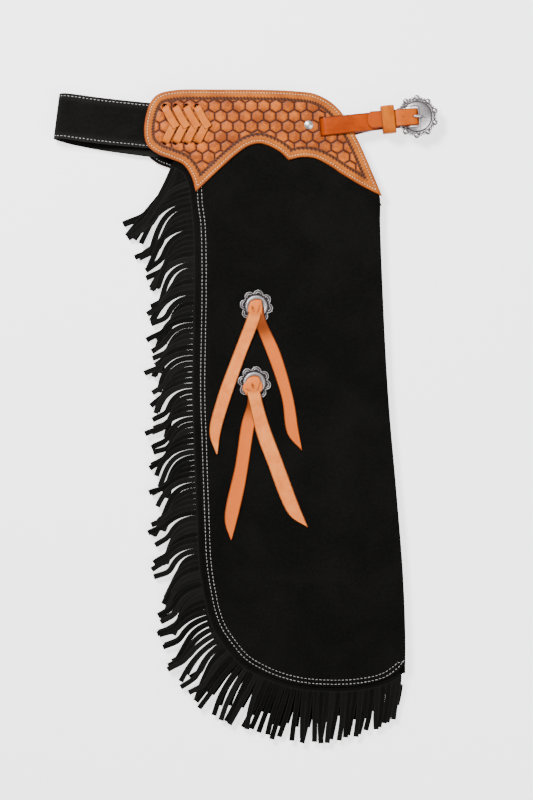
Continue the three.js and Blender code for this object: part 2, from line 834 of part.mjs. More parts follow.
// Billet: from the lower yoke, along the floor, round under the plate, up through the window and back
const billetDip = 4.2;
const billetAngle = Math.atan2(billetDip, billetReach);
const plateZ = runZ + strapHalf + clearance;
const berryLift = 0.6;
const overRing = plateZ + berryLift + berryRadius + clearance + strapHalf;
const billetRows = [
  { ahead: 5.2, z: 4.4 },
  { ahead: 2.1, z: 5.3 },
  { ahead: 0.4, z: 6.9 },
  { ahead: 0.1, z: 8.7 },
  { ahead: -0.8, z: 10.8 },
  { ahead: -3.4, z: overRing - 0.4 },
  { ahead: -8.6, z: overRing },
  { ahead: -21, z: overRing },
  { ahead: -26, z: overRing - 1.9 },
  { ahead: -32, z: overRing - 3.0 },
  { ahead: -40, z: overRing - 3.2 },
  { ahead: -47, z: overRing - 3.0 },
];
const turnAhead = 10.9;
const underPlateZ = 4.2;
const tongueHoleAhead = -2.9;
const billetTipFall = 2.5;
const billetTipSteps = 8;
const loopFlat = 0.9;
const tongueHoleLength = 5.4;
const tongueHoleWidth = 3.4;

function billetGeometry() {
  const slot = new THREE.Vector2(slotPlace.x, slotPlace.y - underLegDrop);
  const ahead = (distance, z) => new THREE.Vector3(
    bucklePlace.x + distance * Math.cos(billetAngle),
    bucklePlace.y + distance * Math.sin(billetAngle),
    z,
  );
  const inside = -(underStrapZ + strapHalf);
  const outside = -(strapZ + strapHalf);
  const turnTo = ahead(turnAhead, outside);
  const lowerAngle = Math.atan2(turnTo.y - slot.y, turnTo.x - slot.x);
  const start = slotStations.map((row) => ({
    middle: new THREE.Vector3(
      slot.x + row.along * Math.cos(lowerAngle),
      slot.y + row.along * Math.sin(lowerAngle),
      THREE.MathUtils.lerp(inside, outside, row.height),
    ),
    turn: strapAngle,
  }));
  const loop = [];
  const steps = 8;
  const radius = (underPlateZ - outside) / 2;
  for (let i = 0; i <= steps; i += 1) {
    const angle = -Math.PI / 2 + (Math.PI * i) / steps;
    const reach = turnAhead + radius * Math.cos(angle) * loopFlat;
    const height = (underPlateZ + outside) / 2 + radius * Math.sin(angle);
    loop.push({ middle: ahead(reach, height), turn: billetAngle });
  }
  const run = billetRows.map((row) => ({ middle: ahead(row.ahead, row.z), turn: billetAngle }));
  const end = { middle: ahead(-billetReach, overRing - billetTipFall), turn: billetAngle };
  const band = strap([...start, ...loop, ...run, end], billetWidth, strapLeather);
  const tipCentre = ahead(-billetReach + billetTipRadius, 0);
  const sweep = Math.asin(Math.min(1, billetWidth / 2 / billetTipRadius));
  const corner = [];
  for (let i = 0; i <= billetTipSteps; i += 1) {
    const angle = Math.PI + billetAngle - sweep + (2 * sweep * i) / billetTipSteps;
    corner.push(new THREE.Vector2(
      tipCentre.x + billetTipRadius * Math.cos(angle),
      tipCentre.y + billetTipRadius * Math.sin(angle),
    ));
  }
  const flat = (p) => new THREE.Vector2(p.x, p.y);
  const across = new THREE.Vector2(-Math.sin(billetAngle), Math.cos(billetAngle));
  const beyond = (side) => flat(ahead(-billetReach - strapLeather * 2, 0))
    .addScaledVector(across, side * billetWidth);
  const beside = (side) => corner[side > 0 ? 0 : billetTipSteps].clone()
    .addScaledVector(across, (side * billetWidth) / 2);
  const trimmer = prism(
    [beyond(-1), beyond(1), beside(1), ...corner, beside(-1)].reverse(),
    plateZ - holeReach * 2,
    overRing + holeReach * 2,
  );
  const hole = ahead(tongueHoleAhead, 0);
  const spot = spotCutter(underStrapZ - holeReach, underStrapZ + strapLeather + holeReach / 2);
  const tongueHole = block(
    tongueHoleLength, tongueHoleWidth, plateZ, overRing + holeReach * 3, hole.x, hole.y, billetAngle,
  );
  return cut(band, trimmer, tongueHole, mirrored(spot));
}

// Keeper: a loop round both straps
const keeperAhead = -32.4;
const keeperSide = -0.6;
const keeperOuter = 30.5;
const keeperCorner = 3;

function keeperGeometry() {
  const bottom = barZ - loopRadius - strapHalf - clearance - keeperWall;
  const top = overRing + keeperWall;
  const rounded = (inset, radius) => {
    const x = keeperOuter / 2 - inset;
    const low = bottom + inset;
    const high = top - inset;
    const path = new THREE.Path();
    path.absarc(x - radius, low + radius, radius, -Math.PI / 2, 0);
    path.absarc(x - radius, high - radius, radius, 0, Math.PI / 2);
    path.absarc(radius - x, high - radius, radius, Math.PI / 2, Math.PI);
    path.absarc(radius - x, low + radius, radius, Math.PI, Math.PI * 1.5);
    return path.getPoints(3);
  };
  const shape = new THREE.Shape(rounded(0, keeperCorner));
  shape.holes.push(new THREE.Path(rounded(keeperWall, keeperCorner - keeperWall)));
  const loop = new THREE.ExtrudeGeometry(shape, { depth: keeperWidth, bevelEnabled: false });
  loop.translate(0, 0, -keeperWidth / 2).rotateX(Math.PI / 2).rotateZ(Math.PI / 2 + strapAngle);
  return loop.translate(
    bucklePlace.x + keeperAhead * Math.cos(strapAngle) - keeperSide * Math.sin(strapAngle),
    bucklePlace.y + keeperAhead * Math.sin(strapAngle) + keeperSide * Math.cos(strapAngle),
    0,
  );
}

// Buckle: plate, ring of berries, window and bar, one soldered piece
const plateRise = 4;
const plateRows = [
  { reach: 0, height: 0 },
  { reach: 1.04, height: 0 },
  { reach: 1.07, height: 0.9 },
  { reach: 0.97, height: 1.8 },
  { reach: 0.84, height: 0.9 },
  { reach: 0.76, height: 1.9 },
  { reach: 0.45, height: 3.3 },
  { reach: 0, height: plateRise },
];
const plateSides = 24;
const windowEdge = 1.9;
const postSize = 1.8;
const barSides = 8;
const barHalf = frontStrapWidth / 2 + 3 * clearance + postSize / 2;

function buckleGeometry() {
  const plate = casting(plateRows, plateSides, () => buckleRadius);
  const berries = Array.from({ length: berryCount }, (unused, i) => {
    const angle = Math.PI / 2 - strapAngle + (2 * Math.PI * i) / berryCount;
    const berry = new THREE.SphereGeometry(berryRadius, berrySides, berrySides / 2 + 1);
    return berry.rotateX(Math.PI / 2).translate(
      Math.cos(angle) * buckleRadius,
      Math.sin(angle) * buckleRadius,
      berryLift,
    );
  });
  const whole = join(plate, ...berries);
  const windowHeight = billetWidth + 2 * windowMargin;
  const under = block(buckleRadius * 3, buckleRadius * 3, -berryRadius * 2, 0, 0, 0);
  const gap = block(
    windowWidth, windowHeight, -holeReach, plateRise + holeReach, windowEdge - windowWidth / 2, 0,
  );
  const open = cut(whole, under, gap);
  const bar = new THREE.CylinderGeometry(barRadius, barRadius, barHalf * 2, barSides)
    .translate(-barBack, 0, barZ - plateZ);
  const posts = [-1, 1].map((side) => block(
    postSize, postSize, barZ - plateZ - barRadius, berryLift, -barBack, side * barHalf,
  ));
  return join(open, bar, ...posts).rotateZ(strapAngle).translate(bucklePlace.x, bucklePlace.y, plateZ);
}

// Tongue: a rod hooked round the bar, up through the billet and down on the plate
function tongueGeometry() {
  const hook = barRadius + clearance + tongueRadius;
  const rows = [
    { ahead: -barBack - 0.3, z: barZ - hook },
    { ahead: -barBack - hook * 0.8, z: barZ - hook * 0.6 },
    { ahead: -barBack - hook, z: barZ },
    { ahead: -barBack - hook * 0.7, z: barZ + hook * 0.75 },
    { ahead: -barBack + 0.3, z: barZ + hook },
    { ahead: -barBack + 4.0, z: barZ + hook * 1.7 },
    { ahead: -5.2, z: overRing - 3.3 },
    { ahead: tongueHoleAhead - 0.9, z: overRing - 0.6 },
    { ahead: tongueHoleAhead + 0.6, z: overRing + 2.0 },
    { ahead: 1.4, z: overRing + 2.2 },
    { ahead: 7.4, z: plateZ + plateRise + tongueRadius + clearance },
  ];
  const points = rows.map((row) => new THREE.Vector3(
    bucklePlace.x + row.ahead * Math.cos(billetAngle),
    bucklePlace.y + row.ahead * Math.sin(billetAngle),
    row.z,
  ));
  const section = new THREE.Shape();
  section.absarc(0, 0, tongueRadius, 0, Math.PI * 2);
  return new THREE.ExtrudeGeometry(section, {
    steps: 18,
    curveSegments: 3,
    bevelEnabled: false,
    extrudePath: new THREE.CatmullRomCurve3(points, false, 'centripetal'),
  });
}

// The assembly
const chaps = new THREE.Group();

function add(name, geometry, finish) {
  const mesh = new THREE.Mesh(bare(geometry), finish);
  mesh.name = name;
  chaps.add(mesh);
}

function addLeg(prefix, turned, strips) {
  const placed = (geometry) => (turned ? mirrored(geometry) : geometry);
  add(`${prefix}_leg_panel`, placed(cutPanelGeometry()), blackSuede);
  add(`${prefix}_fringe`, placed(fringeGeometry(strips)), blackSuede);
  add(`${prefix}_yoke`, placed(yokeGeometry()), tooledLeather);
  laces.forEach((lace, i) => {
    add(`${prefix}_lace_${i + 1}`, placed(laceGeometry(lace)), latigo);
  });
  add(`${prefix}_spot`, placed(spotGeometry()), silver);
  ['upper', 'lower'].forEach((level, i) => {
    add(`${prefix}_${level}_concho`, placed(conchoGeometry(conchos[i])), silver);
    add(`${prefix}_${level}_tie`, placed(tieGeometry(conchos[i], tieTails[i])), latigo);
  });
}

addLeg('right', false, upperStrips);
addLeg('left', true, lowerStrips);
add('back_belt', beltGeometry(), blackSuede);
add('front_strap', frontStrapGeometry(), bridleLeather);
add('billet_strap', billetGeometry(), billetLeather);
add('keeper', keeperGeometry(), billetLeather);
add('buckle', buckleGeometry(), silver);
add('buckle_tongue', tongueGeometry(), silver);

// The origin is on the floor under the middle of the whole pair
const extent = new THREE.Box3().setFromObject(chaps);
const middle = extent.getCenter(new THREE.Vector3());
chaps.position.set(-middle.x, -middle.y, -extent.min.z);

export default chaps;
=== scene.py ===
import bmesh
import bpy
import math
import random
import numpy as np
from collections import Counter
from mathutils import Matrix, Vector
from mathutils.geometry import delaunay_2d_cdt


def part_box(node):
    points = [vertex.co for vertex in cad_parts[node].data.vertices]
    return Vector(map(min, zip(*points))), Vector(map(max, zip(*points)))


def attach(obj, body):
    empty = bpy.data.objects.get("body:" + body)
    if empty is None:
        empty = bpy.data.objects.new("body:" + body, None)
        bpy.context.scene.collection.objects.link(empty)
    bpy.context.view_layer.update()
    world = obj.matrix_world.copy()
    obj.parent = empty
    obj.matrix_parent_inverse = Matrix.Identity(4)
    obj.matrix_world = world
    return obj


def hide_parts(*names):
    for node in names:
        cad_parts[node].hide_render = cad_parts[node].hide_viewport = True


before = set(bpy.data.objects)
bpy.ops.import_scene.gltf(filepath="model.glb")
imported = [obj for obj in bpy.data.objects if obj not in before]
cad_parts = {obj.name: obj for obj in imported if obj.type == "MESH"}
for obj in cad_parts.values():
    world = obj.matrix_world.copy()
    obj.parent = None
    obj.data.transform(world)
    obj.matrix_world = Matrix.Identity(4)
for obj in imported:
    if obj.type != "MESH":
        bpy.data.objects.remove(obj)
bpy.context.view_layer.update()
print("frame loaded")

# Sizes are in millimetres from the yoke's upper left corner and from the plane between the legs
leather = dict(gap=0.3, face=0.2, suede=1.4, yoke=2.2, strap=2.2, belt=2.0, thong=1.2)
beltLow = leather["face"] + leather["thong"] + leather["gap"]
panelLow = beltLow + leather["belt"] + leather["gap"]
panelTop = panelLow + leather["suede"]
yokeLow = panelTop + leather["gap"]
yokeTop = yokeLow + leather["yoke"]
strapLow = yokeTop + leather["gap"]
midHeight = strapLow + leather["strap"]
fringeLow = panelLow - leather["gap"] - leather["suede"]
legDrop = 10.5  # the lower leg lies this much nearer the hem
legs = (("right", False), ("left", True))


# Small helpers for curves
def smoothCurve(points, step=None, count=None):
    points = np.array(points, float)
    ends = np.vstack([2 * points[0] - points[1], points, 2 * points[-1] - points[-2]])
    fine = []
    for i in range(1, len(ends) - 2):
        p0, p1, p2, p3 = ends[i - 1:i + 3]
        t1 = max(np.linalg.norm(p1 - p0), 1e-9) ** 0.5
        t2 = t1 + max(np.linalg.norm(p2 - p1), 1e-9) ** 0.5
        t3 = t2 + max(np.linalg.norm(p3 - p2), 1e-9) ** 0.5
        for t in np.linspace(t1, t2, 25)[:-1]:
            a1 = (t1 - t) / t1 * p0 + t / t1 * p1
            a2 = (t2 - t) / (t2 - t1) * p1 + (t - t1) / (t2 - t1) * p2
            a3 = (t3 - t) / (t3 - t2) * p2 + (t - t2) / (t3 - t2) * p3
            b1 = (t2 - t) / t2 * a1 + t / t2 * a2
            b2 = (t3 - t) / (t3 - t1) * a2 + (t - t1) / (t3 - t1) * a3
            fine.append((t2 - t) / (t2 - t1) * b1 + (t - t1) / (t2 - t1) * b2)
    fine.append(points[-1])
    return evenly(np.array(fine), step, count)


def runsOf(points):
    # the way along a curve to each of its points
    return np.r_[0, np.cumsum(np.linalg.norm(np.diff(points, axis=0), axis=1))]


def pointAt(at, runs, points):
    return np.stack([np.interp(at, runs, points[:, k]) for k in range(points.shape[1])], axis=-1)


def evenly(points, step=None, count=None):
    runs = runsOf(points)
    if count is None:
        count = max(2, int(round(runs[-1] / step)))
    return pointAt(np.linspace(0, runs[-1], count + 1), runs, points)


def curveLength(points):
    return float(np.linalg.norm(np.diff(points, axis=0), axis=1).sum())


def unit(vectors):
    return vectors / np.maximum(np.linalg.norm(vectors, axis=-1, keepdims=True), 1e-9)


def directions(points):
    return unit(np.gradient(points, axis=0))


def acrossAt(angle):
    # level directions to the left of one heading or more
    return np.stack([-np.sin(angle), np.cos(angle), np.zeros_like(angle)], axis=-1)


def turnedBy(angle):
    return np.array([[math.cos(angle), math.sin(angle)], [-math.sin(angle), math.cos(angle)]])


def circle(count):
    angles = np.arange(count) * math.tau / count
    return np.c_[np.cos(angles), np.sin(angles)]


def inPlan(points, height):
    points = np.array(points, float)
    return np.c_[points, np.broadcast_to(height, len(points))]


def ease(x, low=0.0, high=1.0):
    t = np.clip((np.asarray(x, float) - low) / (high - low), 0, 1)
    return t * t * (3 - 2 * t)


def blendTo(a, b, t):
    return a + (b - a) * t


def waves(x, y, seed, size):
    spread = random.Random(seed)
    total = 0
    for k in range(5):
        angle = spread.uniform(0, math.tau)
        pitch = size * spread.uniform(0.6, 1.6)
        shift = spread.uniform(0, math.tau)
        total = total + np.sin((x * math.cos(angle) + y * math.sin(angle)) * math.tau / pitch + shift)
    return total / 5


# The yoke and the leg, as shares of their sizes
yokeSize = dict(length=273.0, height=122.4)
legSize = dict(inset=58.0, width=212.8, length=563.7, flap=118.0, flapRise=70.0)
yokeRows = [
    (0.217, 0.958, "corner"), (0.197, 0.808), (0.162, 0.701), (0.111, 0.650), (0.052, 0.596),
    (0.010, 0.509), (0.000, 0.352), (0.025, 0.126), (0.055, 0.048), (0.120, 0.008), (0.305, 0.000),
    (0.629, 0.015), (0.726, 0.048), (0.809, 0.164), (0.886, 0.423), (0.960, 0.784),
    (1.000, 1.000, "corner"), (0.916, 0.906), (0.832, 0.793), (0.766, 0.696), (0.714, 0.643),
    (0.659, 0.635), (0.608, 0.662, "corner"), (0.566, 0.577), (0.490, 0.506), (0.440, 0.527),
    (0.383, 0.615), (0.311, 0.760),
]
sideRows = [
    (0.000, 0.000), (0.019, 0.055), (0.026, 0.171), (0.018, 0.402), (0.026, 0.496), (0.041, 0.657),
    (0.054, 0.755), (0.085, 0.824), (0.119, 0.871), (0.178, 0.909),
]
hemRows = [
    (0.178, 0.909), (0.278, 0.951), (0.397, 0.975), (0.525, 0.992), (0.672, 0.999), (0.789, 1.000),
    (0.917, 0.996), (1.036, 0.984), (1.105, 0.969), (1.138, 0.954),
]
foldRows = [
    (1.000, 0.000), (1.002, 0.057), (1.029, 0.301), (1.052, 0.439), (1.089, 0.598), (1.125, 0.769),
    (1.138, 0.894), (1.138, 0.954),
]


def onYoke(across, down):
    return np.array([across * yokeSize["length"], -down * yokeSize["height"]])


def onLeg(across, down):
    return np.array([
        legSize["inset"] + across * legSize["width"],
        -yokeSize["height"] - down * legSize["length"],
    ])


def yokeOutline(step):
    corners = [i for i, row in enumerate(yokeRows) if len(row) > 2]
    outline = []
    for start, end in zip(corners, corners[1:] + [corners[0] + len(yokeRows)]):
        span = [onYoke(*yokeRows[i % len(yokeRows)][:2]) for i in range(start, end + 1)]
        outline.append(smoothCurve(span, step=step)[:-1])
    return np.vstack(outline)


yokeEdge = yokeOutline(1.2)
lowYoke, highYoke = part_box("right_yoke")
shift = np.array([
    lowYoke[0] * 1000 - yokeEdge[:, 0].min(),
    highYoke[1] * 1000 - yokeEdge[:, 1].max(),
    midHeight,
])
print("origin shift", [round(float(v), 2) for v in shift])


# Meshes
def toFrame(points, turned=False):
    points = np.array(points, float).reshape(-1, 3)
    if turned:
        points = points * (1, 1, -1) - (0, legDrop, 0)
    return (points + shift) / 1000


class Shape:
    # collects points, faces and marks of one piece
    def __init__(self, *keys):
        self.points, self.faces, self.marks = [], [], {key: [] for key in keys}
        self.count = 0

    def add(self, points, faces, **marks):
        points = np.array(points, float).reshape(-1, 3)
        self.points.append(points)
        self.faces += [tuple(i + self.count for i in face) for face in faces]
        for key in self.marks:
            value = marks.get(key, 0.0)
            self.marks[key].append(np.broadcast_to(value, (len(points),)).astype(float))
        self.count += len(points)

    def make(self, name, finish, slot, replaced=(), turned=False, smooth=True):
        faces = [tuple(int(i) for i in face) for face in self.faces]
        if turned:
            faces = [face[::-1] for face in faces]
        mesh = bpy.data.meshes.new(name)
        mesh.from_pydata(toFrame(np.vstack(self.points), turned).tolist(), [], faces)
        mesh.validate()
        shell = bmesh.new()  # faces turned outward
        shell.from_mesh(mesh)
        bmesh.ops.recalc_face_normals(shell, faces=shell.faces)
        shell.to_mesh(mesh)
        shell.free()
        for key, values in self.marks.items():
            layer = mesh.attributes.new(key, "FLOAT", "POINT")
            layer.data.foreach_set("value", np.concatenate(values).astype(np.float32))
        if smooth:
            mesh.polygons.foreach_set("use_smooth", [True] * len(mesh.polygons))
            mesh.set_sharp_from_angle(angle=math.radians(48))
        mesh.materials.append(finish)
        piece = bpy.data.objects.new(name, mesh)
        bpy.context.scene.collection.objects.link(piece)
        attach(piece, "root")
        if replaced:
            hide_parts(*replaced)
        return piece


def gridFaces(rows, columns, closedRows=False, closedColumns=False):
    faces = []
    for i in range(rows if closedRows else rows - 1):
        for j in range(columns if closedColumns else columns - 1):
            a, b = i * columns + j, i * columns + (j + 1) % columns
            c, d = ((i + 1) % rows) * columns + (j + 1) % columns, ((i + 1) % rows) * columns + j
            faces.append((a, d, c, b))
    return faces


def bandSection(acrossCount):
    # a flat band's section from -1 to 1 across and -1 to 1 through, with rounded edges
    top = [(u, 1.0) for u in np.linspace(-1, 1, acrossCount)]
    bottom = [(u, -1.0) for u in np.linspace(1, -1, acrossCount)]
    return np.array(top + [(1.0, 0.0)] + bottom + [(-1.0, 0.0)])


def tubeFaces(rows, around):
    # rings of points joined to a tube with closed ends
    ends = [tuple(range(around)), tuple(reversed(range((rows - 1) * around, rows * around)))]
    return gridFaces(rows, around, closedColumns=True) + ends


def sweepBand(shape, path, across, half, thickness, acrossCount=9, crown=0.0, closed=False, **marks):
    # across is one direction or one to each point of the path, and half is the reach to either side
    path = np.array(path, float)
    across = unit(np.broadcast_to(np.array(across, float), path.shape))
    along = unit(np.roll(path, -1, axis=0) - np.roll(path, 1, axis=0)) if closed else directions(path)
    rise = unit(np.cross(along, across))
    section = bandSection(acrossCount)
    points, edge = [], []
    for place, side, up, reach in zip(path, across, rise, np.broadcast_to(half, len(path))):
        slim = min(0.35, reach * 0.4)
        for u, v in section:
            width = u * reach if v == 0 else u * (reach - slim * 0.9)
            lift = v * thickness / 2
            if abs(u) == 1.0:
                lift -= v * slim * 0.35
            if v > 0:
                lift += crown * (1 - u * u)
            points.append(place + side * width + up * lift)
            edge.append(abs(u))
    rows, columns = len(path), len(section)
    faces = gridFaces(rows, columns, True, True) if closed else tubeFaces(rows, columns)
    shape.add(points, faces, edge=np.array(edge), **marks)


# Shader expressions
class Wire:
    def __init__(self, finish, socket):
        self.finish, self.socket = finish, socket

    def math(self, operation, other=None, swap=False):
        pair = [self] if other is None else ([other, self] if swap else [self, other])
        return self.finish.node("ShaderNodeMath", dict(operation=operation), pair)

    def __add__(self, other):
        return self.math("ADD", other)

    def __radd__(self, other):
        return self.math("ADD", other)

    def __sub__(self, other):
        return self.math("SUBTRACT", other)

    def __rsub__(self, other):
        return self.math("SUBTRACT", other, swap=True)

    def __mul__(self, other):
        return self.math("MULTIPLY", other)

    def __rmul__(self, other):
        return self.math("MULTIPLY", other)

    def __truediv__(self, other):
        return self.math("DIVIDE", other)

    def least(self, other):
        return self.math("MINIMUM", other)

    def most(self, other):
        return self.math("MAXIMUM", other)

    def size(self):
        return self.math("ABSOLUTE")

    def wrap(self, other):
        return self.math("FLOORED_MODULO", other)

    def step(self, low, high, toLow=0.0, toHigh=1.0):
        return self.finish.node(
            "ShaderNodeMapRange", dict(interpolation_type="SMOOTHSTEP"),
            {"Value": self, "From Min": low, "From Max": high, "To Min": toLow, "To Max": toHigh})


class Finish:
    def __init__(self, name):
        self.material = bpy.data.materials.new(name)
        self.material.use_nodes = True
        self.tree = self.material.node_tree
        self.tree.nodes.clear()
        self.output = self.tree.nodes.new("ShaderNodeOutputMaterial")
        self.surface = self.tree.nodes.new("ShaderNodeBsdfPrincipled")
        self.tree.links.new(self.surface.outputs[0], self.output.inputs[0])
        self.place = self.node("ShaderNodeTexCoord", {}, {}, out="Object")

    def plug(self, socket, value):
        if isinstance(value, Wire):
            self.tree.links.new(value.socket, socket)
        elif isinstance(value, (tuple, list)) and len(value) == 3 and socket.type == "RGBA":
            socket.default_value = (*value, 1.0)
        else:
            socket.default_value = value

    def node(self, kind, settings=None, sockets=None, out=0):
        made = self.tree.nodes.new(kind)
        for key, value in (settings or {}).items():
            setattr(made, key, value)
        if isinstance(sockets, dict):
            for key, value in sockets.items():
                self.plug(made.inputs[key], value)
        else:
            for socket, value in zip(made.inputs, sockets or []):
                self.plug(socket, value)
        return Wire(self, made.outputs[out])

    def noise(self, scale, detail=3.0, rough=0.5, warp=0.0, place=None):
        return self.node("ShaderNodeTexNoise", dict(noise_dimensions="3D"), {
            "Vector": place or self.place, "Scale": scale, "Detail": detail,
            "Roughness": rough, "Distortion": warp}, out="Fac")

    def stretched(self, x, y, z):
        return self.node("ShaderNodeVectorMath", dict(operation="MULTIPLY"), [self.place, (x, y, z)])

    def mark(self, name):
        return self.node("ShaderNodeAttribute", dict(attribute_name=name), {}, out="Fac")

    def mix(self, factor, low, high):
        made = self.tree.nodes.new("ShaderNodeMix")
        made.data_type = "RGBA"
        self.plug(made.inputs[0], factor)
        self.plug(made.inputs[6], low)
        self.plug(made.inputs[7], high)
        return Wire(self, made.outputs[2])

    def bump(self, height, strength, distance):
        sockets = {"Strength": strength, "Distance": distance, "Height": height}
        return self.node("ShaderNodeBump", {}, sockets, out="Normal")

    def wear(self, color, roughness, normal=None, metal=None, **constants):
        self.plug(self.surface.inputs["Base Color"], color)
        self.plug(self.surface.inputs["Roughness"], roughness)
        if normal is not None:
            self.plug(self.surface.inputs["Normal"], normal)
        if metal is not None:
            self.plug(self.surface.inputs["Metallic"], metal)
        for key, value in constants.items():
            self.surface.inputs[key.replace("_", " ")].default_value = value
        return self.material


def tone(red, green, blue):
    # screen colour from 0 to 255 to linear light
    def one(value):
        value /= 255
        return value / 12.92 if value <= 0.04045 else ((value + 0.055) / 1.055) ** 2.4
    return (one(red), one(green), one(blue))


def dye(red, green, blue, light=1.0):
    # a leather's dye, in linear light
    return (red * light, green * light, blue * light)


# Black suede: a short nap, brushed lighter and darker in soft patches; the worn colour is also a painted
# highlight along cut edges
# worn: the lighter colour, used for a random tone per strip and for the painted edge highlight
suedeLook = dict(
    deep=(0.0027, 0.0027, 0.0024), brushed=(0.0070, 0.0068, 0.0062), worn=(0.016, 0.0155, 0.014),
    napScale=1500, patchScale=14, fibreScale=320,
)


def suedeFinish(name, light=1.0, rim=0.0):
    finish = Finish(name)
    patches = finish.noise(suedeLook["patchScale"], 4, 0.6, 0.4)
    fibres = finish.noise(suedeLook["fibreScale"], 4, 0.7, 0.5)
    nap = finish.noise(suedeLook["napScale"], 2, 0.6)
    shade = patches.step(0.35, 0.75) * 0.5 + fibres.step(0.3, 0.8) * 0.5
    deep, brushed, worn = (dye(*suedeLook[key], light) for key in ("deep", "brushed", "worn"))
    color = finish.mix(shade, deep, brushed)
    # painted highlight: edges lighter by the rim share, plus a random lighter tone per strip from the tone
    # mark
    color = finish.mix(finish.mark("edge").step(0.6, 1.0) * rim + finish.mark("tone"), color, worn)
    normal = finish.bump(nap + fibres * 0.8, 0.55, 0.0006)
    return finish.wear(color, 0.92 - fibres * 0.08, normal,
                       Specular_IOR_Level=0.04, Sheen_Weight=0.01, Sheen_Roughness=0.45)


# Tooled yoke leather: honeycomb stamping with dark grooves and a stamped border line
hexLook = dict(pitch=14.1, squash=0.957, x=109.1, y=-19.1, groove=0.6, base=-0.25, dome=0.4)
yokeLook = dict(
    plain=(dye(0.34, 0.074, 0.002), dye(0.52, 0.126, 0.004)),
    cell=(dye(0.28, 0.054, 0.002), dye(0.64, 0.142, 0.008)),
    groove=dye(0.030, 0.006, 0.002),
    edge=dye(0.22, 0.034, 0.004),
    border=dye(0.030, 0.008, 0.004),
    seam=dye(0.20, 0.050, 0.008),
)


def yokeFinish(turned):
    finish = Finish("tooledLeather" + ("Lower" if turned else "Upper"))
    x = finish.node("ShaderNodeSeparateXYZ", {}, [finish.place], out="X") * 1000
    y = finish.node("ShaderNodeSeparateXYZ", {}, [finish.place], out="Y") * 1000
    x = x - (float(shift[0]) + hexLook["x"])
    y = (y - (float(shift[1]) + hexLook["y"] - (legDrop if turned else 0))) / hexLook["squash"]
    pitch, rowPitch = hexLook["pitch"], hexLook["pitch"] * math.sqrt(3)
    wobble = finish.noise(160, 2, 0.5)
    ax = (x + pitch / 2).wrap(pitch) - pitch / 2
    ay = (y + rowPitch / 2).wrap(rowPitch) - rowPitch / 2
    bx, by = x.wrap(pitch) - pitch / 2, y.wrap(rowPitch) - rowPitch / 2
    farA = ax.size().most(ax.size() * 0.5 + ay.size() * (math.sqrt(3) / 2))
    farB = bx.size().most(bx.size() * 0.5 + by.size() * (math.sqrt(3) / 2))
    reach = pitch / 2 - farA.least(farB)
    field = finish.mark("field")
    line = (1 - (reach + (wobble - 0.5) * 0.7).step(0.5, 1.6)) * field
    grain = finish.noise(900, 4, 0.6)
    cloud = finish.noise(45, 4, 0.6, 0.5)
    speck = finish.noise(420, 3, 0.7)
    plain = finish.mix(cloud.step(0.3, 0.7), *yokeLook["plain"])
    cell = finish.mix((speck * 0.35 + cloud * 0.65).step(0.4, 0.62), *yokeLook["cell"])
    cell = finish.mix((1 - reach.step(1.0, 3.6)) * 0.45, cell, yokeLook["edge"])
    plain = finish.mix(finish.mark("seam") * 0.75, plain, yokeLook["seam"])
    color = finish.mix(field, plain, cell)
    color = finish.mix(line * 0.92, color, yokeLook["groove"])
    color = finish.mix(finish.mark("border") * (0.8 + speck * 0.3), color, yokeLook["border"])
    color = finish.mix(finish.mark("edge") * 0.9, color, yokeLook["edge"])
    rough = 0.5 - field * 0.04 + line * 0.15 + grain * 0.08
    normal = finish.bump(grain * 0.7 + speck * 0.5, 0.35, 0.0004)
    return finish.wear(color, rough, normal, Coat_Weight=0.03, Coat_Roughness=0.35, Specular_IOR_Level=0.22)


# Smooth leathers, darker along their cut edges, with painted shade in the same dark tone where the shade mark
# is set
def strapFinish(name, light, dark, edgeAndShadeTone, deepTone, rough, streak, coat):
    finish = Finish(name)
    cloud = finish.noise(38, 4, 0.6, 0.6)
    fine = finish.noise(700, 3, 0.6)
    grain = finish.noise(90, 5, 0.65, 0.3, place=finish.stretched(*streak))
    mixed = (cloud * 0.55 + grain * 0.45).step(0.33, 0.66)
    color = finish.mix(mixed, dark, light)
    color = finish.mix(finish.mark("deep") * (0.8 + cloud * 0.3), color, deepTone)
    color = finish.mix(finish.mark("edge").step(0.84, 1.0) * 0.8, color, edgeAndShadeTone)
    # painted shade: the shade mark darkens towards the edge tone
    color = finish.mix(finish.mark("shade"), color, edgeAndShadeTone)
    normal = finish.bump(fine + grain * 0.6, 0.3, 0.0003)
    return finish.wear(color, rough + fine * 0.1, normal, Coat_Weight=coat, Coat_Roughness=0.22,
                       Specular_IOR_Level=0.15)


# Antiqued silver: bright on the high places, dark in the recesses from patina, and darker where shade and
# reflection are painted into the same mark
def silverFinish(name, bright, dark):
    finish = Finish(name)
    worn = finish.noise(240, 4, 0.65)
    fine = finish.noise(1400, 3, 0.6)
    recess = (finish.mark("recess") + worn.step(0.45, 0.8) * 0.14).step(0.0, 1.0)
    color = finish.mix(recess, bright, dark)
    normal = finish.bump(fine * 0.6 + worn, 0.12, 0.0002)
    return finish.wear(color, 0.3 + recess * 0.4 + worn * 0.1, normal, metal=0.85 - recess * 0.25)


def threadFinish(name, light, dark):
    finish = Finish(name)
    twist = finish.noise(2600, 2, 0.5)
    color = finish.mix(twist.step(0.35, 0.65), dark, light)
    return finish.wear(color, 0.6, finish.bump(twist, 0.4, 0.0003), Sheen_Weight=0.2)


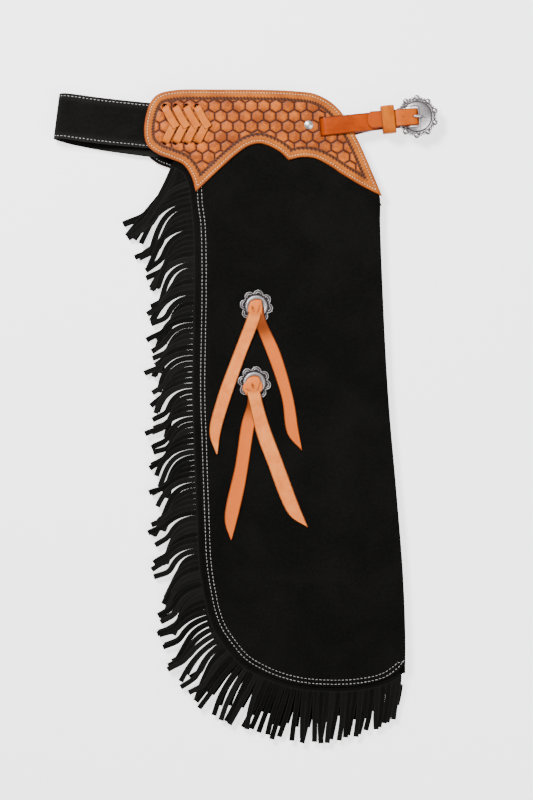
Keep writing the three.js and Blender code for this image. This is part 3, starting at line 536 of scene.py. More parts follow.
suede = suedeFinish("blackSuede")
# the last number is the strength of the painted edge highlight
beltSuede = suedeFinish("blackSuedeBelt", 1.4, 0.5)
fringeSuede = suedeFinish("blackSuedeStrips", 0.95, 0.6)
whiteThread = threadFinish("whiteThread", dye(0.55, 0.54, 0.51), dye(0.30, 0.29, 0.28))
creamThread = threadFinish("creamThread", dye(0.92, 0.62, 0.36), dye(0.70, 0.40, 0.19))
orange, burnt = dye(0.44, 0.060, 0.001), dye(0.05, 0.006, 0.001)
bridle = strapFinish("bridleLeather", orange, dye(0.26, 0.030, 0.0005), burnt, burnt, 0.3, (0.3, 1.6, 1), 0.1)
billetTan = strapFinish(
    "billetLeather", dye(0.62, 0.120, 0.006), dye(0.45, 0.078, 0.003), dye(0.10, 0.014, 0.002),
    orange, 0.42, (0.4, 1.6, 1), 0.03)
keeperTan = strapFinish(
    "keeperLeather", dye(0.58, 0.135, 0.003), dye(0.36, 0.068, 0.001), dye(0.12, 0.020, 0.002),
    orange, 0.42, (1.8, 0.3, 1), 0.04)
thongTan = strapFinish(
    "latigoThong", dye(1.0, 0.315, 0.070), dye(0.80, 0.190, 0.028), dye(0.12, 0.018, 0.002),
    dye(0.70, 0.125, 0.007), 0.6, (1, 1, 1), 0.02)
laceTan = strapFinish(
    "latigoLace", dye(0.70, 0.180, 0.020), dye(0.50, 0.112, 0.010), dye(0.05, 0.009, 0.002),
    orange, 0.5, (1, 1, 1), 0.04)
silver = silverFinish("antiquedSilver", dye(0.63, 0.585, 0.60), dye(0.022, 0.016, 0.018))
chrome = silverFinish("brightSpot", dye(0.80, 0.79, 0.80), dye(0.2, 0.19, 0.2))
print("finishes made")


# Sheets and plates
def rimLoop(rows, columns):
    loop = [(0, j) for j in range(columns)]
    loop += [(i, columns - 1) for i in range(1, rows)]
    loop += [(rows - 1, j) for j in range(columns - 2, -1, -1)]
    return loop + [(i, 0) for i in range(rows - 2, 0, -1)]


def softSheet(shape, grid, thickness, **marks):
    # a sheet about its middle surface, with a rounded edge
    rows, columns = grid.shape[:2]
    normal = unit(np.cross(np.gradient(grid, axis=1), np.gradient(grid, axis=0)))
    top, bottom = grid + normal * thickness / 2, grid - normal * thickness / 2
    loop, rim = rimLoop(rows, columns), []
    for i, j in loop:
        inward = grid[min(max(i, 1), rows - 2), min(max(j, 1), columns - 2)]
        rim.append(grid[i, j] + unit(grid[i, j] - inward) * min(0.45, thickness * 0.4))
    size = rows * columns
    faces = gridFaces(rows, columns)
    faces += [tuple(k + size for k in reversed(face)) for face in faces]
    for k, (here, after) in enumerate(zip(loop, loop[1:] + loop[:1])):
        topA, topB = here[0] * columns + here[1], after[0] * columns + after[1]
        rimA, rimB = 2 * size + k, 2 * size + (k + 1) % len(loop)
        faces += [(topA, topB, rimB, rimA), (rimA, rimB, topB + size, topA + size)]
    spread = {}
    for key, value in marks.items():
        flat = np.broadcast_to(value, (rows, columns))
        spread[key] = np.r_[flat.ravel(), flat.ravel(), [flat[i, j] for i, j in loop]]
    shape.add(np.vstack([top.reshape(-1, 3), bottom.reshape(-1, 3), rim]), faces, **spread)


def doubleArea(loop):
    return float((loop[:, 0] * np.roll(loop[:, 1], -1) - np.roll(loop[:, 0], -1) * loop[:, 1]).sum())


def outwardOf(loop):
    # directions out of a closed outline, at each of its points
    ends = np.roll(loop, -1, axis=0) - np.roll(loop, 1, axis=0)
    return unit(np.c_[ends[:, 1], -ends[:, 0]]) * (1 if doubleArea(loop) > 0 else -1)


def nearestOn(points, loop):
    # distance to a closed outline, and how far round it the nearest place is
    ends = np.roll(loop, -1, axis=0)
    along = ends - loop
    sizes = np.maximum((along ** 2).sum(1), 1e-12)
    starts = np.r_[0, np.cumsum(np.sqrt(sizes))[:-1]]
    gaps, runs = np.zeros(len(points)), np.zeros(len(points))
    for k in range(0, len(points), 2000):
        part = points[k:k + 2000, None]
        t = np.clip(((part - loop) * along).sum(2) / sizes, 0, 1)
        gap = np.linalg.norm(part - (loop + along * t[..., None]), axis=2)
        best = gap.argmin(1)
        own = np.arange(len(best))
        gaps[k:k + 2000] = gap[own, best]
        runs[k:k + 2000] = starts[best] + t[own, best] * np.sqrt(sizes[best])
    return gaps, runs


def insideOf(points, loop):
    ends = np.roll(loop, -1, axis=0)
    result = np.zeros(len(points), bool)
    for k in range(0, len(points), 4000):
        x, y = points[k:k + 4000, 0][:, None], points[k:k + 4000, 1][:, None]
        crosses = (loop[:, 1] > y) != (ends[:, 1] > y)
        rise = ends[:, 1] - loop[:, 1]
        at = loop[:, 0] + (y - loop[:, 1]) / np.where(rise == 0, 1e-12, rise) * (ends[:, 0] - loop[:, 0])
        result[k:k + 4000] = (crosses & (x < at)).sum(1) % 2 == 1
    return result


def sidesOf(face):
    return [tuple(sorted((face[i - 1], face[i]))) for i in range(len(face))]


def triangulate(loops, filling):
    points = np.vstack(loops + ([filling] if len(filling) else []))
    edges, start = [], 0
    for loop in loops:
        edges += [(start + i, start + (i + 1) % len(loop)) for i in range(len(loop))]
        start += len(loop)
    made = delaunay_2d_cdt([Vector(p) for p in points.tolist()], edges, [], 0, 1e-6)
    flat = np.array([tuple(v) for v in made[0]])
    faces = np.array([tuple(f) for f in made[2]])
    middles = flat[faces].mean(1)
    keep = insideOf(middles, loops[0])
    for hole in loops[1:]:
        keep &= ~insideOf(middles, hole)
    place = {given: i for i, group in enumerate(made[3]) for given in group}
    rim = {tuple(sorted((place[a], place[b]))) for a, b in edges}
    kept = [tuple(face) for face in faces[keep].tolist()]
    uses = Counter(side for face in kept for side in sidesOf(face))
    kept = [face for face in kept if all(side in rim or uses[side] == 2 for side in sidesOf(face))]
    return flat, kept, [place[i] for i in range(start)]


def plate(shape, loops, filling, heightAt, low, marksAt=None, rimOut=0.25):
    # a flat piece with relief on its upper face, and any holes
    flat, faces, ring = triangulate(loops, filling)
    heights = heightAt(flat)
    topStart = shape.count
    shape.add(np.c_[flat, heights], faces, **(marksAt(flat) if marksAt else {}))
    lowFlat, lowFaces, lowRing = triangulate(loops, np.zeros((0, 2)))
    lowStart, rimStart = shape.count, shape.count + len(lowFlat)
    rim, walls, start = [], [], 0
    for loop in loops:
        out = outwardOf(loop) * (rimOut if loop is loops[0] else -rimOut)
        for i in range(len(loop)):
            here, after = start + i, start + (i + 1) % len(loop)
            top = heights[ring[here]]
            rim.append([*(loop[i] + out[i]), low + (top - low) * 0.5])
            rimA, rimB = here + rimStart, after + rimStart
            walls.append((ring[here] + topStart, ring[after] + topStart, rimB, rimA))
            walls.append((rimA, rimB, lowRing[after] + lowStart, lowRing[here] + lowStart))
        start += len(loop)
    points = np.vstack([inPlan(lowFlat, low), rim])
    shape.add(points, [tuple(reversed(face)) for face in lowFaces], edge=1.0)
    shape.faces += walls


def offsetPoints(outline, depth, step):
    loop = evenly(np.vstack([outline, outline[:1]]), step=step)[:-1]
    moved = loop - outwardOf(loop) * depth
    return moved[nearestOn(moved, outline)[0] > depth - 0.12]


def stitchRow(shape, path, pitch, length, radius, flatten=0.7, up=(0, 0, 1)):
    # short thread stitches along a path, each lying on the leather
    total, runs = curveLength(path), runsOf(path)
    count = int(total / pitch)
    rings = [(-1, 0.05), (-0.72, 0.8), (0.0, 1.0), (0.72, 0.8), (1, 0.05)]
    faces = tubeFaces(len(rings), 6)
    for k in range(count):
        at = (k + 0.5) * total / count
        start, end = pointAt(at + np.array((-0.5, 0.5)) * length, runs, path)
        along, middle = unit(end - start), (start + end) / 2
        side, rise = unit(np.cross(up, along)), np.array(up) * flatten
        points = []
        for reach, wide in rings:
            for x, y in circle(6):
                points.append(middle + along * reach * length / 2 + (side * x + rise * y) * radius * wide)
        shape.add(points, faces)


# Leg panels: the front, the fold at its right edge and the plain flap behind
panelLook = dict(rows=150, front=56, fold=8, flap=12, dip=0.5, wave=90)
foldRadius = (panelTop - leather["face"]) / 2
sidePath = smoothCurve([(57.96, -106.3)] + [onLeg(*row) for row in sideRows], count=panelLook["rows"])
foldPath = smoothCurve([(266.0, -108.0)] + [onLeg(*row) for row in foldRows], count=panelLook["rows"])
hemPath = smoothCurve([onLeg(*row) for row in hemRows], count=panelLook["front"])
hiddenTop = [(57.96, -106.3), (77, -87), (99.4, -68), (136.2, -52), (180, -66), (227, -86), (266.0, -108.0)]
topPath = smoothCurve(hiddenTop, count=panelLook["front"])


def panelGrid():
    rows, front = panelLook["rows"], panelLook["front"]
    v, u = np.linspace(0, 1, rows + 1)[:, None, None], np.linspace(0, 1, front + 1)[None, :, None]
    plan = (1 - u) * sidePath[:, None] + u * foldPath[:, None] + (1 - v) * topPath[None] + v * hemPath[None]
    plan -= (1 - u) * (1 - v) * sidePath[0] + u * (1 - v) * foldPath[0]
    plan -= (1 - u) * v * sidePath[-1] + u * v * foldPath[-1]
    plan[..., 0] -= foldRadius * u[..., 0]
    middle = panelTop - leather["suede"] / 2
    calm = np.sin(math.pi * np.clip(u, 0, 1)) ** 0.7 * np.sin(math.pi * np.clip(v * 0.96 + 0.02, 0, 1)) ** 0.5
    swell = 0.6 + 0.4 * waves(plan[..., 0], plan[..., 1], 4, panelLook["wave"])
    grid = [np.dstack([plan, middle - panelLook["dip"] * calm[..., 0] * swell])]
    radius = foldRadius - leather["suede"] / 2
    edge = foldPath - (foldRadius, 0)
    for k in range(1, panelLook["fold"]):
        angle = math.pi / 2 - math.pi * k / panelLook["fold"]
        x = edge[:, 0] + radius * math.cos(angle)
        z = leather["face"] + foldRadius + radius * math.sin(angle)
        grid.append(np.c_[x, edge[:, 1], np.full(len(x), z)][:, None])
    for k in range(panelLook["flap"] + 1):
        share = k / panelLook["flap"]
        rise = legSize["flapRise"] * np.linspace(0, 1, rows + 1) * share ** 1.6
        x = edge[:, 0] - legSize["flap"] * share
        z = np.full(len(x), leather["face"] + leather["suede"] / 2)
        grid.append(np.c_[x, edge[:, 1] + rise, z][:, None])
    return np.hstack(grid)


def areaOf(grid):
    sides = np.cross(grid[1:, :-1] - grid[:-1, :-1], grid[:-1, 1:] - grid[:-1, :-1])
    return float(np.linalg.norm(sides, axis=2).sum()) / 1e6


panelMiddle = panelGrid()
panels, backings = {}, {}
for prefix, turned in legs:
    shape = Shape()
    softSheet(shape, panelMiddle, leather["suede"])
    panels[prefix] = shape.make(prefix + "Panel", suede, "black_suede", [prefix + "_leg_panel"], turned)
print("panels", round(areaOf(panelMiddle), 4))

# The yoke's suede backing
laceAt = dict(across=0.086, pitch=12.3, top=-0.163, bottom=-0.495)
laceSpots = []
for i in range(4):
    x = yokeSize["length"] * laceAt["across"] + i * laceAt["pitch"]
    laceSpots.append((x, yokeSize["height"] * laceAt["top"], yokeSize["height"] * laceAt["bottom"]))
slotPlace = onYoke(0.742, 0.352)
strapRun = np.array([110.5, 12.0])
strapAngle = math.atan2(strapRun[1], strapRun[0])
spotPlace = onYoke(0.6925, 0.333)


def turnedBox(middle, length, height, angle, corner=0.8, step=1.0):
    points = []
    for sx, sy, start in ((1, 1, 0), (-1, 1, 90), (-1, -1, 180), (1, -1, 270)):
        centre = np.array((sx * (length / 2 - corner), sy * (height / 2 - corner)))
        for k in range(4):
            turn = math.radians(start + 30 * k)
            points.append(centre + (corner * math.cos(turn), corner * math.sin(turn)))
    points = evenly(np.vstack([points, points[:1]]), step=step)[:-1]
    return points @ turnedBy(angle) + middle


def ovalHole(x, y, halfWidth, halfHeight):
    return (x, y) + circle(16) * (halfWidth, halfHeight)


yokeHoles = [turnedBox(slotPlace + (2.6, 0.3), 6.4, 22.4, strapAngle)]
for x, top, bottom in laceSpots:
    yokeHoles += [ovalHole(x, top + 1.0, 2.8, 2.7), ovalHole(x, bottom - 0.6, 2.8, 2.5)]


def backingTop(points):
    return np.full(len(points), panelTop - 0.05)


for prefix, turned in legs:
    shape = Shape("edge")
    plate(shape, [yokeEdge] + yokeHoles, np.zeros((0, 2)), backingTop, panelLow)
    backings[prefix] = shape.make(prefix + "Backing", suede, "black_suede", (), turned)


# Yokes: honeycomb stamping inside a serrated border line, with rounded edges
def hexField(x, y):
    pitch, rowPitch = hexLook["pitch"], hexLook["pitch"] * math.sqrt(3)
    u, v = x - hexLook["x"], (y - hexLook["y"]) / hexLook["squash"]
    ax = np.mod(u + pitch / 2, pitch) - pitch / 2
    ay = np.mod(v + rowPitch / 2, rowPitch) - rowPitch / 2
    bx, by = np.mod(u, pitch) - pitch / 2, np.mod(v, rowPitch) - rowPitch / 2
    farA = np.maximum(np.abs(ax), np.abs(ax) * 0.5 + np.abs(ay) * math.sqrt(3) / 2)
    farB = np.maximum(np.abs(bx), np.abs(bx) * 0.5 + np.abs(by) * math.sqrt(3) / 2)
    return pitch / 2 - np.minimum(farA, farB)


def hexPoints():
    pitch = hexLook["pitch"]
    low, high = yokeEdge.min(0) - pitch, yokeEdge.max(0) + pitch
    points = []
    rowHeight = pitch * math.sqrt(3) / 2
    rows = range(int((low[1] - hexLook["y"]) / hexLook["squash"] / rowHeight) - 1,
                 int((high[1] - hexLook["y"]) / hexLook["squash"] / rowHeight) + 2)
    for row in rows:
        for column in range(-12, 16):
            centre = np.array([column * pitch + (row % 2) * pitch / 2, row * rowHeight])
            points.append(centre[None])
            for reach, steps in ((0.0, 8), (0.5, 8), (1.0, 7), (1.7, 6), (3.0, 4), (4.8, 2)):
                radius = (pitch / 2 - reach) * 2 / math.sqrt(3)
                angles = math.pi / 6 + np.arange(6) * math.pi / 3
                corners = np.c_[np.cos(angles), np.sin(angles)] * radius + centre
                for a, b in zip(corners, np.roll(corners, -1, axis=0)):
                    points.append(a + (b - a) * (np.arange(steps) / steps)[:, None])
    points = np.vstack(points)
    points = np.c_[points[:, 0] + hexLook["x"], points[:, 1] * hexLook["squash"] + hexLook["y"]]
    keys = np.round(points / 0.12).astype(int)
    return points[np.unique(keys, axis=0, return_index=True)[1]]


def borderMark(gap, run):
    outer = 7.7 + 1.5 * np.abs(np.sin(math.pi * run / 3.9)) ** 1.4
    speck = 0.22 * np.sin(math.tau * run / 3.9) * np.exp(-((gap - 10.6) / 0.8) ** 2)
    return ease(gap, outer - 0.3, outer + 0.3) * (1 - ease(gap, 11.7, 12.5)) * (0.95 + speck)


def yokeRelief(points):
    gap, run = nearestOn(points, yokeEdge)
    reach = hexField(points[:, 0], points[:, 1])
    field = ease(gap, 11.6, 12.4)
    border = borderMark(gap, run)
    near = np.clip(gap / 1.3, 0, 1)
    height = yokeTop - 0.75 * (1 - np.sqrt(1 - (1 - near) ** 2))
    height -= 0.22 * np.exp(-((gap - 3.45) / 0.55) ** 2)
    height -= 0.4 * border
    dome = hexLook["dome"] * ease(reach, 0.9, 6.5)
    groove = hexLook["groove"] * (1 - ease(reach, 0.15, 1.35))
    height += field * (hexLook["base"] + dome - groove)
    hole = np.full(len(points), 9.0)
    for loop in yokeHoles:
        hole = np.minimum(hole, nearestOn(points, loop)[0])
    height -= 0.45 * (1 - ease(hole, 0, 0.9))
    seam = np.exp(-((gap - 3.45) / 0.7) ** 2)
    edge = np.maximum(1 - ease(gap, 0.2, 1.7), 1 - ease(hole, 0.1, 0.8))
    return height, dict(field=field, border=border, seam=seam, edge=edge)


filling = []
for step, depths in (
    (1.3, (0.35, 0.8, 1.3, 2.2, 3.0, 3.5, 4.1, 5.4, 6.8)),
    (0.7, (7.9, 8.4, 8.9, 9.4, 9.9, 10.5, 11.1, 11.8, 12.5)),
):
    filling += [offsetPoints(yokeEdge, depth, step) for depth in depths]
hexes = hexPoints()
hexes = hexes[insideOf(hexes, yokeEdge)]
hexes = hexes[nearestOn(hexes, yokeEdge)[0] > 12.8]
filling = np.vstack(filling + [hexes])
for loop in yokeHoles:
    filling = filling[~insideOf(filling, loop)]
    filling = filling[nearestOn(filling, loop)[0] > 0.35]
    filling = np.vstack([filling, loop + (loop - loop.mean(0)) * 0.12])
print("yoke points", len(filling))

for prefix, turned in legs:
    shape = Shape("field", "border", "edge", "seam")
    plate(shape, [yokeEdge] + yokeHoles, filling,
          lambda points: yokeRelief(points)[0], yokeLow, lambda points: yokeRelief(points)[1])
    shape.make(prefix + "Yoke", yokeFinish(turned), "tooled_leather", [prefix + "_yoke"], turned)
print("yokes made")


# Laces: a flat thong to each chevron, up through the yoke, across, back over itself and down
laceLook = dict(width=9.6, reach=11.8)


def laceBand(shape, points, width, ends=(1.0, 1.0)):
    path = smoothCurve(points, step=0.8)
    flat = unit(path[-1, :2] - path[0, :2])
    share = np.linspace(0, 1, len(path))
    half = width / 2 * (1 - (1 - ends[0]) * (1 - ease(share, 0, 0.25)) - (1 - ends[1]) * ease(share, 0.8, 1))
    sweepBand(shape, path, (-flat[1], flat[0], 0.0), half, leather["thong"], 9, 0.12)


frontZ, backZ = strapLow + leather["thong"] / 2, leather["face"] + leather["thong"] / 2
for prefix, turned in legs:
    for i, (x, top, bottom) in enumerate(laceSpots):
        shape = Shape("edge", "shade")
        middle = (top + bottom) / 2
        reach, width = laceLook["reach"], laceLook["width"]
        upper = [
            (x, top + 0.3, 1.2), (x + 0.2, top - 0.2, yokeTop - 1.2), (x + 1.4, top - 2.2, frontZ + 0.1),
            (x + reach * 0.55, blendTo(top, middle, 0.6), frontZ + 0.9),
            (x + reach + 1.6, middle - 3.0, frontZ + 1.1),
        ]
        laceBand(shape, upper, width, (0.8, 1.0))
        lower = [
            (x + reach - 0.4, middle + 1.5, frontZ - 0.1),
            (x + reach * 0.6, blendTo(middle, bottom, 0.35), frontZ),
            (x + 1.6, bottom + 2.4, frontZ), (x + 0.3, bottom + 0.4, yokeTop - 1.2), (x, bottom - 0.2, 1.2),
        ]
        laceBand(shape, lower, width, (1.0, 0.8))
        back = [(x, top + 0.6, backZ), (x, middle, backZ - 0.05), (x, bottom - 0.6, backZ)]
        laceBand(shape, back, 4.6)
        shape.make(f"{prefix}Lace{i + 1}", laceTan, "latigo", [f"{prefix}_lace_{i + 1}"], turned)

# Spots: domed and cut in facets, on a post
spotLook = dict(radius=4.9, sides=12, pressed=0.87)
spotRows = [(1.0, 0.0), (1.0, 0.5), (0.88, 0.75), (0.72, 1.6), (0.4, 2.3), (0.05, 2.45)]
for prefix, turned in legs:
    shape = Shape("recess")
    points = []
    for k, (reach, height) in enumerate(spotRows):
        height *= spotLook["pressed"] if turned else 1.0  # the lower one bears on the floor
        plan = circle(spotLook["sides"]) @ turnedBy(math.pi / spotLook["sides"] * (k % 2))
        points.append(inPlan(spotPlace + plan * reach * spotLook["radius"], strapLow + height))
    shape.add(np.vstack(points), tubeFaces(len(spotRows), spotLook["sides"]))
    post = [(*spotPlace, z) for z in np.linspace(0.3, strapLow + 1, 5)]
    sweepBand(shape, post, (1, 0, 0), 1.5, 3.0, 5)
    shape.make(prefix + "Spot", chrome, "silver", [prefix + "_spot"], turned, smooth=False)

# Conchos: eight scallops with arcs, a dark ring and a raised inner ring
conchoLook = dict(radius=19.5, lobes=8, lobeCentre=0.69, lobeRadius=0.31, rings=76, around=288, spin=0.16)
conchoPlaces = [onYoke(0.47, 2.038) + (0.5, 0.4), onYoke(0.47, 2.754) - (1.8, 0)]


def conchoRelief(x, y):
    # x and y are shares of the concho's radius
    radius, angle = np.hypot(x, y), np.arctan2(y, x) + conchoLook["spin"]
    sector = math.tau / conchoLook["lobes"]
    swing = np.mod(angle + sector / 2, sector) - sector / 2
    lobeX, lobeY = radius * np.cos(swing) - conchoLook["lobeCentre"], radius * np.sin(swing)
    q = np.hypot(lobeX, lobeY) / conchoLook["lobeRadius"]
    outside = ease(radius, 0.66, 0.72)
    arcs = np.exp(-((q - 0.86) / 0.09) ** 2) + 0.9 * np.exp(-((q - 0.5) / 0.09) ** 2)
    arcs = arcs + 0.7 * np.exp(-(q / 0.14) ** 2)
    height = 0.75 + outside * (0.5 * arcs - 0.25 * np.clip(q - 0.95, 0, 1))
    groove = np.exp(-((radius - 0.68) / 0.045) ** 2)
    height -= 0.35 * groove
    ring = 1 - ease(radius, 0.585, 0.66)
    height += ring * (1.05 - 0.9 * (1 - ease(radius, 0.36, 0.56)))
    height += np.exp(-((radius - 0.62) / 0.03) ** 2) * 0.12 * np.sin(angle * 40)
    dark = outside * np.clip(0.94 - arcs * 0.62, 0, 1) + groove
    dark += 0.3 * (1 - ease(radius, 0.34, 0.5)) + 0.22 * ring * (0.5 + 0.5 * np.sin(radius * 90))
    return height, np.clip(dark, 0, 1)


def conchoShape(place):
    shape = Shape("recess")
    rings, around = conchoLook["rings"], conchoLook["around"]
    angle = np.arange(around) * math.tau / around
    sector = math.tau / conchoLook["lobes"]
    swing = np.mod(angle + conchoLook["spin"] + sector / 2, sector) - sector / 2
    across = conchoLook["lobeCentre"] * np.sin(swing)
    edge = conchoLook["lobeCentre"] * np.cos(swing) + np.sqrt(conchoLook["lobeRadius"] ** 2 - across ** 2)
    points, recess = [], []
    for k in range(rings + 1):
        share = 0.02 + 0.98 * k / rings
        reach = np.where(share < 0.72, share, 0.72 + (share - 0.72) / 0.28 * (edge - 0.72))
        x, y = reach * np.cos(angle), reach * np.sin(angle)
        height, dark = conchoRelief(x, y)
        if k == rings:
            height = height - 0.25
        points.append(inPlan(place + np.c_[x, y] * conchoLook["radius"], yokeLow + height))
        recess.append(dark)
    points.append(np.c_[points[-1][:, :2], np.full(around, yokeLow)])
    recess.append(np.ones(around) * 0.5)
    shape.add(np.vstack(points), tubeFaces(rings + 2, around), recess=np.concatenate(recess))
    return shape


# Ties: a folded knot on the concho and two tails with slanted ends
knots = [
    dict(left=-9.4, right=6.6, top=7.8, bottom=-11.4, slit=(-3.8, -3.2), neck=0.80, foot=0.92),
    dict(left=-13.2, right=9.2, top=8.0, bottom=-13.6, slit=(-1.6, -3.6), neck=0.56, foot=0.70),
]
tails = [
    [
        dict(over=True,
             left=[(-7.4, -3.0), (-9.8, -10.9), (-28.0, -58.7), (-45.2, -106.4), (-53.6, -145.1),
                   (-46.2, -169.0)],
             right=[(5.6, -3.0), (4.6, -11.5), (-13.4, -58.9), (-30.2, -106.8), (-41.4, -145.1),
                    (-44.8, -169.6)]),
        dict(over=False,
             left=[(-5.0, -6.0), (-2.0, -17.0), (1.6, -26.7), (20.1, -75.1), (29.7, -106.4),
                   (36.2, -146.6), (51.0, -164.2)],
             right=[(7.4, -1.0), (9.4, -12.4), (12.8, -21.6), (27.2, -53.2), (42.3, -106.4),
                    (48.1, -142.0), (52.2, -165.0)]),
    ],
    [
        dict(over=True,
             left=[(-10.2, -6.0), (-6.8, -17.1), (2.4, -57.5), (15.1, -92.3), (40.4, -151.6), (60.0, -165.0)],
             right=[(5.4, -3.0), (7.0, -13.0), (15.1, -43.6), (31.8, -89.0), (51.2, -141.2), (61.1, -165.4)]),
        dict(over=False,
             left=[(-7.5, -9.0), (-7.6, -22.2), (-14.4, -46.3), (-21.3, -92.3), (-33.8, -156.5),
                   (-27.4, -179.6)],
             right=[(5.0, -9.0), (4.4, -29.0), (0.1, -47.5), (-11.4, -119.9), (-21.3, -162.0),
                    (-26.4, -180.2)]),
    ],
]


def tailGrid(tail, place, ceiling, columns=9):
    left, right = smoothCurve(tail["left"], count=110), smoothCurve(tail["right"], count=110)
    share = np.linspace(0, 1, columns)[None, :, None]
    plan = left[:, None] * (1 - share) + right[:, None] * share
    reach = np.hypot(plan[..., 0], plan[..., 1])
    onConcho = strapLow + 1.5
    onPanel = yokeLow + leather["thong"] / 2 + (0.25 if tail["over"] else 0.0)
    crossing = 1.15 * (1 - ease(reach, 22, 62)) if tail["over"] else 0
    height = blendTo(onConcho, onPanel, ease(reach, 17, 34)) + crossing * 0.8
    curl = 0.25 * np.sin(reach / 27 + (1.0 if tail["over"] else 2.6)) * ease(reach, 40, 80)
    cup = 0.35 * (2 * share[..., 0] - 1) ** 2 * ease(reach, 20, 60)
    height = np.minimum(height + np.abs(curl) + cup, ceiling)
    return np.dstack([plan + place, height])


def tieShape(place, knot, pair, ceiling):
    shape = Shape("edge", "shade", "deep")
    columns = 9
    for tail in pair:
        grid = tailGrid(tail, place, ceiling, columns)
        edge = np.tile(np.abs(np.linspace(-1, 1, columns)), (grid.shape[0], 1))
        reach = np.hypot(grid[..., 0] - place[0], grid[..., 1] - place[1])
        near = 0.3 * (1 - ease(reach, 9, 15)) if tail["over"] else 0.8 * (1 - ease(reach, 24, 48))
        softSheet(shape, grid, leather["thong"], edge=edge, shade=near, deep=0.1 if tail["over"] else 0.85)
    rows, across = 30, 21
    v, u = np.linspace(0, 1, rows)[:, None], np.linspace(-1, 1, across)[None, :]
    wide = blendTo(knot["neck"], 1.0, ease(v, 0, 0.5)) * blendTo(1.0, knot["foot"], ease(v, 0.62, 1))
    centre = (knot["left"] + knot["right"]) / 2 + blendTo(0.8, 0.0, ease(v, 0, 0.5))
    x = centre + u * wide * (knot["right"] - knot["left"]) / 2
    y = knot["top"] + (knot["bottom"] - knot["top"]) * v + (0.9 * u - 1.8 * u * u) * (1 - v)
    rise = np.sin(math.pi * np.clip(v * 1.02 - 0.01, 0, 1)) ** 0.35
    z = strapLow + 0.4 + 2.9 * rise * (1 - 0.32 * np.abs(u) ** 3)
    slitX, slitY = knot["slit"]
    lean = (x - slitX) * 0.9 + (y - slitY) * 0.35
    far = (y - slitY) * 0.9 - (x - slitX) * 0.35
    slit = np.exp(-(lean / 1.0) ** 2 - (far / 2.6) ** 2)
    fold = np.exp(-(((x - knot["right"] + 3.4) * 0.95 - (y + 2) * 0.28) / 0.8) ** 2) * ease(-y, -6, 2)
    crease = np.exp(-(((y + 8.6) * 0.9 + (x + 6) * 0.42) / 0.8) ** 2)
    fold = fold + crease * ease(-x, 1.5, 4) * ease(x, -11, -9)
    z = np.minimum(z, ceiling) - 1.5 * slit - 0.5 * fold
    grid = np.dstack([x + place[0], y + place[1], z])
    shade = np.clip(slit * 2.2 + fold * 0.75 + 0.9 * (1 - ease(v, 0.0, 0.09)), 0, 1)
    edge = np.abs(u) * np.ones_like(v)
    softSheet(shape, grid, leather["thong"], edge=edge * 0.95, shade=shade, deep=0.62)
    for side in (-1, 1):
        leg = [(place[0], place[1] + side * 4.5, z) for z in np.linspace(panelLow - 1.4, strapLow + 1.2, 6)]
        sweepBand(shape, leg, (1, 0, 0), 3.0, leather["thong"], 5)
    back = [(place[0], place[1] + y, panelLow - 0.9) for y in np.linspace(-5, 5, 6)]
    sweepBand(shape, back, (1, 0, 0), 3.0, leather["thong"], 5)
    return shape


for prefix, turned in legs:
    for level, place, knot, pair in zip(("Upper", "Lower"), conchoPlaces, knots, tails):
        lower = level.lower()
        shape = conchoShape(place)
        shape.make(prefix + level + "Concho", silver, "silver", [f"{prefix}_{lower}_concho"], turned)
        ceiling = midHeight - leather["thong"] / 2 - 0.1 if turned else 99.0  # pressed flat by the floor
        shape = tieShape(place, knot, pair, ceiling)
        shape.make(prefix + level + "Tie", thongTan, "latigo", [f"{prefix}_{lower}_tie"], turned)
print("laces, spots, conchos and ties made")

# Back belt: from the upper yoke round the loop at the back to the lower yoke
beltLook = dict(width=52.6, length=172.2, loopTop=7.6, climb=12.6)
beltStart = onYoke(0.259, 0.337)
beltRows = [
    (0.000, 0.00, 0.00), (0.235, 0.00, 0.00), (0.378, 0.02, 0.00), (0.505, 0.18, 0.12),
    (0.640, 0.36, 0.45), (0.775, 0.58, 0.78), (0.877, 0.77, 0.95),
]


def beltPath():
    half = leather["belt"] / 2
    near, upperZ, lowerZ = beltLow + half, beltLook["loopTop"] - half, half - midHeight
    radius = (upperZ - lowerZ) / 2
    centre = beltLook["length"] - radius - half
    path, turns = [], []

    def place(along, climb, z, tilt):
        path.append((beltStart[0] - along, beltStart[1] + climb, z))
        turns.append(tilt)

    def tilt(along):
        return math.pi - 0.13 * float(ease(along, 0.3, 0.8))

    reach, height = beltLook["length"], beltLook["climb"]
    for along, climb, spread in beltRows:
        place(along * reach, climb * height, blendTo(near, upperZ, spread), tilt(along))
    lastDrop = legDrop * (1 - 0.72 * beltRows[-1][0] ** 2)
    for k in range(9):
        angle = math.pi * k / 8
        along = centre + radius * math.sin(angle)
        climb = height * (0.83 + (along / reach - 0.92) * 0.17 / 0.08) - lastDrop * k / 8 * 0.6
        place(along, climb, (upperZ + lowerZ) / 2 + radius * math.cos(angle), tilt(1))
    for along, climb, spread in reversed(beltRows):
        drop = legDrop * (1 - 0.72 * along ** 2)
        place(along * reach, climb * height - drop, blendTo(-near, lowerZ, spread), tilt(along))
    both = smoothCurve([(*p, t * 100) for p, t in zip(path, turns)], step=2.0)
    return both[:, :3], both[:, 3] / 100


